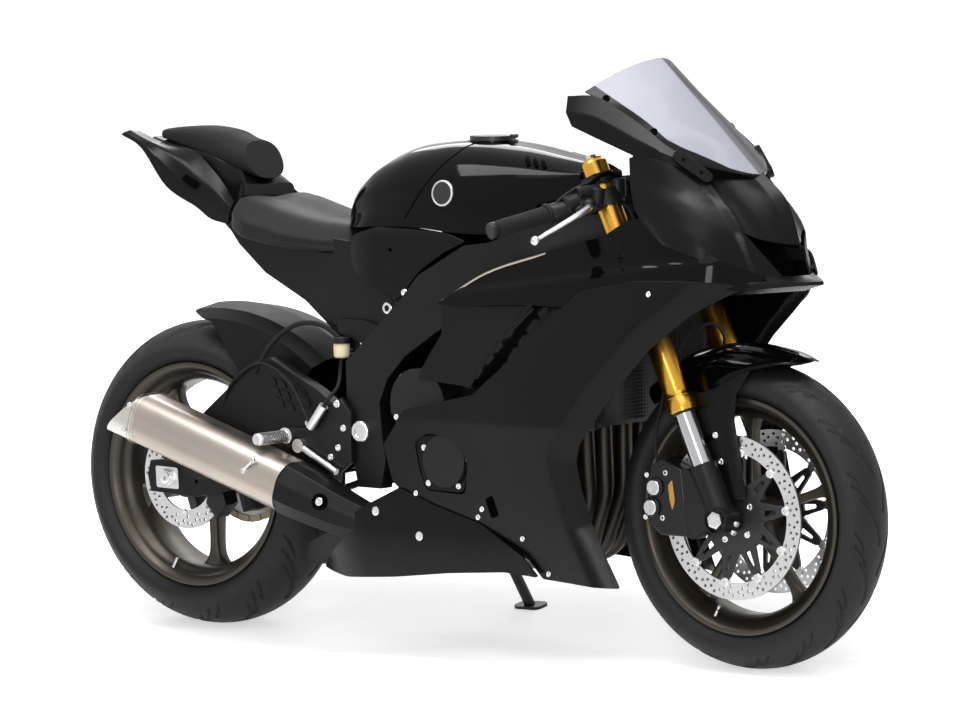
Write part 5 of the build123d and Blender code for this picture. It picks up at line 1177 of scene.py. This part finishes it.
# Tail: side wings round a core, and the pad on top of it. The right wing's rows run from its lower outer edge up to
# its inner edge under the pad.
WING = Net([
    [(-148, -112, 1015), (-87, -119, 988), (-20, -120, 911), (60, -120, 871), (100, -122, 848), (150, -126, 838)],
    [(-140, -112, 1020), (-80, -119, 996), (-8, -121, 938), (64, -121, 896), (110, -124, 876), (156, -128, 858)],
    [(-134, -100, 1024), (-82, -104, 1004), (2, -104, 967), (66, -112, 924), (118, -118, 896), (160, -126, 872)],
    [(-130, -70, 1020), (-84, -62, 1000), (10, -72, 985), (58, -84, 962), (112, -96, 922), (150, -106, 884)],
], v_breaks=(1, 2))
tail = Piece("tail_shell", "chassis", "panel_matt", M["panel_matt"], DARK, SATIN)
verts, faces = WING.grid(6, 5)
tail.add(shell(verts, oriented(verts, faces, OUT), PANEL_WALL), 0, mirror=True)
core = []
for x, top, half, low, low_half in ((156, 912, 78, 820, 88), (140, 930, 62, 816, 86), (60, 972, 60, 872, 78),
                                    (-20, 990, 58, 915, 66), (-100, 1002, 46, 972, 50), (-128, 1008, 40, 992, 42)):
    core.append(both_sides([
        (x, 0, low), (x, -low_half * 0.8, low), (x, -low_half, low + 8),
        (x, -(half + low_half) / 2 - 3, (top + low) / 2), (x, -half, top - 8), (x, -half * 0.8, top), (x, 0, top)]))
core.sort(key=lambda r: r[0][0])
tail.add(closed_net(Net(core, [r[0][0] for r in core]), 4, 6), 0)
tail.add(prism(rounded([(26, 926), (36, 938), (64, 924), (58, 908)], 3), -120.5, -124), 1, mirror=True)
tail.done(["tail_cowl"], sharp=45, bevel=0.8, limit=60)

pad_rows = []
for shift, low, top, half in ((-98, 1002, 1025, 42), (-60, 992, 1029, 50), (0, 972, 1031, 57), (50, 952, 1024, 60),
                              (92, 934, 1013, 60), (120, 926, 1005, 58), (128, 926, 1003, 55)):
    lean = np.clip((shift - 20) / 80, 0, 1) * 0.42
    row = []
    for t in turns_of(24):
        c, s = squarish(t, 2.4 if shift > 60 else 3.0)
        z = (low + top) / 2 + s * (top - low) / 2
        row.append((shift + 16 * (lean > 0) - (z - 966) * lean, -c * half, z))
    pad_rows.append(row + [row[0]])
pad = Piece("tail_pad_foam", "chassis", "pad_foam", M["pad_foam"])
pad.add(closed_net(Net(pad_rows), 2, 6))
pad.done(["tail_pad"], sharp=50, bevel=2.0, segments=3, limit=55)

# Silencer trim
CAN_DIR = Vector((-0.9537, 0, 0.3009))
CAN_UP = Vector((0.3009, 0, 0.9537))
CAN_FRONT = Vector((384, -214, 322))
muffler = Piece("silencer_trim", "chassis", "titanium", M["titanium"], BOLT, DARK, M["control_silver"])
for s in (396, 404):
    pts = [CAN_FRONT + CAN_DIR * s - OUT * (c * 56.4) + CAN_UP * (u * 53.4)
           for c, u in (squarish(t, 3.4) for t in turns_of(48))]
    muffler.add(tube([*pts, pts[0]], 0.7, 6, 1), 0)
for s, up in ((410, 30), (410, -24)):
    muffler.add(bolt(CAN_FRONT + CAN_DIR * s + CAN_UP * up + Vector((0, -55.5, 0)), OUT, 5, 3), 1)
muffler.add(tube([CAN_FRONT + CAN_DIR * 66 + CAN_UP * 36 + Vector((0, -58, 0)),
                  CAN_FRONT + CAN_DIR * 84 + CAN_UP * 8 + Vector((0, -60, 0))], 3, 10, 4), 3)
for s, up in ((66, 36), (84, 8)):
    muffler.add(bolt(CAN_FRONT + CAN_DIR * s + CAN_UP * up + Vector((0, -56, 0)), OUT, 6, 6), 1)
muffler.add(lathe([(-2, 17), (2, 17), (3, 15), (1, 11), (1, 0.5)], (490, -254, 300), (0.25, -0.9, 0.2), 28), 2)
muffler.add(bolt((490, -254, 300), (0.25, -0.9, 0.2), 8, 5), 1)
muffler.done(sharp=35)

# Silencer shield: a faceted sleeve that narrows towards the belly pan
SLEEVE = [(384, -214, 322, 112, 106), (430, -208, 304, 108, 100), (500, -178, 268, 86, 82), (556, -150, 246, 62, 62)]
CUTS = [(1, 0.3), (0.62, 0.92), (0, 1), (-0.62, 0.92), (-1, 0.3), (-1, -0.4), (-0.55, -1), (0.55, -1), (1, -0.4)]
rings = [[(x + CAN_UP.x * b * high / 2, y + a * wide / 2, z + CAN_UP.z * b * high / 2) for a, b in CUTS]
         for x, y, z, wide, high in SLEEVE]
sleeve = Piece("silencer_sleeve", "chassis", "shield_black")
sleeve.add(closed_net(Net([ring + [ring[0]] for ring in rings], u_breaks=range(1, 9)), 4, 6))
sleeve.done(["silencer_shield"], sharp=30, bevel=2.0, limit=40)

# Belly pan's upper flank, which closes the space under the side fairing
FLANK = [(500, 222), (520, 268), (562, 292), (606, 312), (650, 332), (736, 302), (852, 270), (950, 212), (982, 170),
         (900, 176), (760, 166), (620, 150), (480, 140), (380, 150), (440, 186)]


def flank_y(x, z):
    """Half width of the belly pan's flank."""
    back = np.clip((560 - x) / 180, 0, 1) ** 2 * 70
    return 199 - back - np.clip((250 - z) / 110, 0, 1) ** 2 * 26 - np.clip((x - 620) / 300, 0, 1) * 6


flank = Piece("belly_flank", "chassis", "panel_matt", M["panel_matt"], DARK, BOLT)
flank.add(side_patch(FLANK, (), 9.0, flank_y, PANEL_WALL, 8), 0, mirror=True)
for x, z in ((700, 238), (590, 282)):
    flank.add(bolt((x, -float(flank_y(x, z)), z), OUT, 9, 3), 2, mirror=True)
flank.done(sharp=45, bevel=0.8, limit=60)

# Airbox and harness block that fills the frame above the engine: the real airbox, drawn in deep black as painted shade
airbox = Piece("airbox_block", "chassis", "engine_dark", DARK)
AIRBOX = [(552, 490), (600, 440), (920, 440), (1000, 700), (980, 840), (760, 850), (640, 800), (530, 660)]
airbox.add(prism(rounded(AIRBOX, 30), -60, 60))
airbox.done(sharp=40, bevel=4)

# Footrest fittings on the right hanger, and bolts all round
rest = Piece("footrest_fittings", "chassis", "control_silver", M["control_silver"], BOLT, M["cast_black"], DARK)
rest.bolts(((468, 488), (420, 470)), -166, 8, 6, 1)
rest.bolts(((484, 440), (470, 400), (392, 446), (450, 380)), -166, 7, 6, 1)
peg = [(0, 12)]
for k in range(12):
    s = 6 + k * 6.8
    peg += [(s, 12.6), (s + 3.4, 12.6), (s + 3.8, 10.6), (s + 6.4, 10.6)]
peg += [(90, 12), (92, 10), (92, 1)]
rest.add(lathe(peg, (330, -166, 417), OUT, 28), 0, mirror=True)
rest.add(lathe([(0, 17), (3, 17), (5, 14), (5, 12)], (330, -166, 417), OUT, 28), 1, mirror=True)
rest.add(lathe([(0, 21.5), (4, 21.5), (6, 19), (6, 13), (3, 12), (3, 0.5)], (525, -164, 435), OUT, 12), 0,
         mirror=True)
rest.done(["footpegs"], sharp=35)

# Swingarm trim: raised grid on the side plate and the chain adjuster at the axle
arm = Piece("swingarm_trim", "chassis", "swingarm_black", M["swingarm_black"], M["control_silver"], BOLT)
for i in range(4):
    for j in range(3):
        x, z = 296 + i * 26 - j * 10, 476 + j * 22 - i * 6
        arm.add(prism(rounded([(x, z), (x + 18, z - 4), (x + 12, z + 12), (x - 6, z + 16)], 3, 2), -148, -151), 0,
                mirror=True)
arm.add(prism(rounded([(-34, 338), (26, 336), (28, 292), (-32, 294)], 5), -148, -153), 1, mirror=True)
arm.add(lathe([(0, 19), (8, 19), (10, 17), (10, 10)], (0, -152, 315), OUT, 6), 1, mirror=True)
arm.add(lathe([(0, 12), (12, 12), (13, 10), (13, 5), (9, 4), (9, 0.5)], (0, -152, 315), OUT, 28), 2, mirror=True)
arm.add(rod((-62, -133, 315), (-48, -133, 315), 7, 6, 1), 2, mirror=True)
arm.done(sharp=35, bevel=0.8)

# Radiator: fins and side tanks
core_piece = Piece("radiator_fins", "chassis", "radiator_black", M["radiator_black"], DARK, M["control_silver"])
FRONT_PLAN = [(1128, -182), (1088, -110), (1084, 0), (1088, 110), (1128, 182)]
plan_y = np.linspace(-176, 176, 89)
plan_x = spline(np.array([[p[0]] for p in FRONT_PLAN], float), [p[1] for p in FRONT_PLAN], plan_y)[:, 0] + 1.5
for k in range(32):
    z = 474 + k * 7.4
    row_a = np.column_stack([plan_x + (np.arange(89) % 2) * 3, plan_y, np.full(89, z)])
    row_b = row_a + np.array([0, 0, 5.2])
    core_piece.add((np.vstack([row_a, row_b]), quads(2, 89)), 0)
for side in (-1, 1):
    core_piece.add(rod((1118, side * 184, 466), (1118, side * 184, 712), 13, 20, 3), 0)
core_piece.done(sharp=25)

# Chain: rollers and side plates along its loop
chain = Piece("chain_links", "chassis", "chain_steel", M["chain_steel"], DARK)
PITCH_MM = 15.875
CHAIN_Y = 107


def pitch_radius(teeth):
    """Radius of the chain's pins on a sprocket."""
    return PITCH_MM / (2 * sin(pi / teeth))


def on_ring(centre, angle, radius):
    """Point of a circle seen from the side."""
    return centre + Vector((cos(angle), 0, sin(angle))) * radius


def round_run(centre, angle, turn, radius):
    """Pins round a sprocket."""
    n = round(turn * radius / PITCH_MM)
    return [on_ring(centre, angle - turn * k / n, radius) for k in range(n)]


def straight_run(a, b, n):
    """Pins between two sprockets."""
    return [a.lerp(b, k / n) for k in range(n)]


r_back, r_front = pitch_radius(43), pitch_radius(16)
back_c, front_c = Vector((0, CHAIN_Y, 315)), Vector((612, CHAIN_Y, 437))
span = front_c - back_c
tilt = atan2(span.z, span.x)
spread = asin((r_back - r_front) / span.length)
top_angle, low_angle = tilt + pi / 2 + spread, tilt - pi / 2 - spread
turn = top_angle - low_angle
straight = round(sqrt(span.length**2 - (r_back - r_front) ** 2) / PITCH_MM)
loop = straight_run(on_ring(back_c, top_angle, r_back), on_ring(front_c, top_angle, r_front), straight)
loop += round_run(front_c, top_angle, turn, r_front)
loop += straight_run(on_ring(front_c, low_angle, r_front), on_ring(back_c, low_angle, r_back), straight)
loop += round_run(back_c, low_angle, 2 * pi - turn, r_back)
for k, p in enumerate(loop):
    q = loop[(k + 1) % len(loop)]
    mid, d = (p + q) / 2, (q - p)
    reach, d = d.length / 2, d.normalized()
    up_v = Vector((-d.z, 0, d.x))
    chain.add(rod(p + Vector((0, -7.5, 0)), p + Vector((0, 7.5, 0)), 4.6, 10), 0)
    wide = 6.2 if k % 2 else 8.0
    ends = [(side, -pi / 2 + pi * t / 4) for side in (-1, 1) for t in range(5)]
    outline = [mid + d * side * (reach + cos(a) * 6.8) + up_v * (side * sin(a) * 6.8) for side, a in ends]
    for y in (-wide, wide - 1.6):
        near = [v - OUT * y for v in outline]
        m = len(near)
        faces = [tuple(range(m))[::-1], tuple(range(m, 2 * m))]
        faces += [(i, (i + 1) % m, m + (i + 1) % m, m + i) for i in range(m)]
        chain.add((near + [v - OUT * 1.6 for v in near], faces), 0)
chain.done(["drive_chain"], sharp=30)

# Tank trim: side seam, bare badge and breather slots
trim = Piece("tank_trim", "chassis", "tank_gloss", DARK, BADGE, BOLT, M["control_silver"])
seam_u = np.linspace(2.4, 7.0, 31)
seam_x = np.interp(seam_u, [2.4, 4.0, 5.5, 7.0], [636, 692, 736, 750])
at = TANK.at(seam_u, seam_x)
trim.add(tube([tuple(p) for p in at[::3]], 1.5, 8, 3), 0)
trim.add(tube([(p[0], -p[1], p[2]) for p in at[::3]], 1.5, 8, 3), 0)
centre = TANK.at([3.75], [738.0])[0]
trim.add(lathe([(-6, 26), (2.0, 26), (3.0, 25), (3.0, 22.5), (2.0, 22)], tuple(centre), (0.02, -1, 0.1), 56), 3,
         mirror=True)
trim.add(lathe([(-6, 22.5), (2.2, 22.5), (2.2, 0.4)], tuple(centre), (0.02, -1, 0.1), 56), 1, mirror=True)
# Breather slots drawn as deep black bars on the skin: painted shade in place of openings
for k in range(3):
    low = TANK.at([5.6], [905.0 + 17 * k])[0]
    high = TANK.at([6.3], [885.0 + 17 * k])[0]
    trim.add(tube([tuple(low), tuple((low + high) / 2 + np.array([0, -1.5, 1.5])), tuple(high)], [4.5, 5, 3], 10, 5), 0,
             mirror=True)
trim.done(sharp=50)

# Side covers: smooth shields under the tank
COVER = [(500, 752), (540, 728), (612, 700), (628, 712), (674, 760), (740, 800), (794, 822), (740, 838), (640, 848),
         (560, 845), (496, 826), (486, 790)]


def cover_y(x, z):
    """Half width of the side cover under the tank."""
    return 150 + 6 * np.cos(np.clip((z - 790) / 70, -1.2, 1.2)) - np.clip((z - 825) / 20, 0, 1) ** 2 * 8 \
        - np.clip((560 - x) / 80, 0, 1) ** 2 * 16


covers = Piece("side_cover_shells", "chassis", "panel_matt", M["panel_matt"], DARK, BOLT)
covers.add(side_patch(COVER, [circle(600, 800, 5, 16)], 8.0, cover_y, 6.0, 12), 0, mirror=True)
covers.bolts(((560, 680),), -112, 12, 8, 2)
covers.bolts(((545, 640), (500, 610)), -118, 8, 6, 2)
covers.bolts(((636, 716),), -152, 8, 6, 2)
covers.done(["side_covers"], sharp=45, bevel=0.8, limit=60)

# Rear brake: hose, reservoir with its cap, and the shock's spring
rear_bits = Piece("rear_reservoir_cup", "chassis", "reservoir_cream", M["reservoir_cream"], M["cast_black"])
rear_bits.add(lathe([(0, 13), (3, 16), (28, 17), (30, 16)], (452, -132, 578), (0, 0, 1), 32), 0)
rear_bits.add(lathe([(29, 18.5), (31, 19), (40, 19), (42, 17), (42, 1)], (452, -132, 578), (0, 0, 1), 32), 1)
rear_bits.done(["rear_reservoir"], sharp=35)
hose("rear_brake_feed", "chassis", [(452, -132, 580), (450, -134, 556), (456, -152, 520), (446, -176, 492),
                                    (440, -176, 482)], 4.0)
hose("rear_brake_line", "chassis", [(404, -176, 440), (380, -168, 470), (340, -160, 520), (260, -156, 560),
                                    (180, -152, 520), (130, -140, 420), (112, -128, 330)], 3.2)
hose("rear_loom", "chassis", [(470, -120, 590), (400, -128, 640), (330, -126, 640), (270, -134, 600),
                              (236, -150, 540)], 5.0)
coil = Piece("shock_spring", "chassis", "shock_black", M["control_silver"])
low, high = Vector((436, 0, 430)), Vector((447, 0, 600))
coil.add(tube([low.lerp(high, k / 84) + Vector((cos(k * pi / 6) * 34, sin(k * pi / 6) * 34, 0)) for k in range(85)],
              5.5, 8, 2))
coil.done(sharp=60)

# Floor, light and camera
def area(name, at, to, size, power):
    """Rectangular lamp aimed at a point."""
    light = bpy.data.lights.new(name, "AREA")
    light.shape = "RECTANGLE"
    light.size, light.size_y = size
    light.energy = power
    obj = bpy.data.objects.new(name, light)
    bpy.context.scene.collection.objects.link(obj)
    obj.location = at
    obj.rotation_euler = (Vector(to) - Vector(at)).to_track_quat("-Z", "Y").to_euler()


bpy.ops.mesh.primitive_plane_add(size=60, location=(0, 0, 0))
floor = bpy.context.object
floor.name = "floor"
ground, tree, bsdf = material("floor_pale")


def seen(tree, low, high):
    """High where a camera, glossy or transmission ray looks, else low."""
    path = tree.nodes.new("ShaderNodeLightPath")
    total = path.outputs["Is Camera Ray"]
    for name in ("Is Glossy Ray", "Is Transmission Ray"):
        both = tree.nodes.new("ShaderNodeMath")
        both.operation = "MAXIMUM"
        put(tree, both.inputs[0], total)
        put(tree, both.inputs[1], path.outputs[name])
        total = both.outputs[0]
    return shader(tree, "MapRange", "Result", Value=total, To_Min=low, To_Max=high)


settle(tree, bsdf, Base_Color=(0.86, 0.86, 0.86, 1), Roughness=0.9, Specular_IOR_Level=0.0,
       Emission_Color=(1, 1, 1, 1), Emission_Strength=seen(tree, 0.0, 0.55))
floor.data.materials.append(ground)

world = bpy.data.worlds.new("studio")
bpy.context.scene.world = world
world.use_nodes = True
sky = world.node_tree
settle(sky, sky.nodes["Background"], Color=(1, 1, 1, 1), Strength=seen(sky, 0.34, 1.0))

sun = bpy.data.lights.new("sun", "SUN")
sun.energy = 0.9
sun.angle = radians(50)
sun_obj = bpy.data.objects.new("sun", sun)
bpy.context.scene.collection.objects.link(sun_obj)
sun_obj.rotation_euler = (Vector((0, 0, 0)) - Vector((0.8, -1.0, 3.0))).to_track_quat("-Z", "Y").to_euler()
area("above", (0.2, -0.5, 3.2), (0.1, 0, 0.5), (3.0, 0.9), 95)
area("side", (2.6, -3.4, 1.9), (0.2, 0, 0.6), (0.8, 1.6), 48)
area("far", (-1.6, 2.8, 2.2), (0, 0, 0.6), (2.4, 1.2), 40)

# Solved from the photographed view: place in bike millimetres; azimuth, elevation and roll in degrees; focal length
CAMERA_AT = (8463.3, -9733.5, 1582.2)
CAMERA_TURN = (38.571, 4.633, -0.817)
LENS = 234.33
scene = bpy.context.scene
scene.view_settings.view_transform = "Standard"
cam = bpy.data.cameras.new("camera")
cam.sensor_width = 36.0
cam.lens = LENS
cam.clip_end = 100
camera = bpy.data.objects.new("camera", cam)
scene.collection.objects.link(camera)
az, el, roll = (radians(angle) for angle in CAMERA_TURN)
behind = Vector((sin(az) * cos(el), -cos(az) * cos(el), sin(el)))
right = Vector((cos(az), sin(az), 0))
up = behind.cross(right)
right, up = right * cos(roll) + up * sin(roll), up * cos(roll) - right * sin(roll)
turn = Matrix([[right.x, up.x, behind.x], [right.y, up.y, behind.y], [right.z, up.z, behind.z]]).to_4x4()
camera.matrix_world = PLACE @ Matrix.Translation(Vector(CAMERA_AT) * MM) @ turn
scene.camera = camera

bpy.context.view_layer.update()
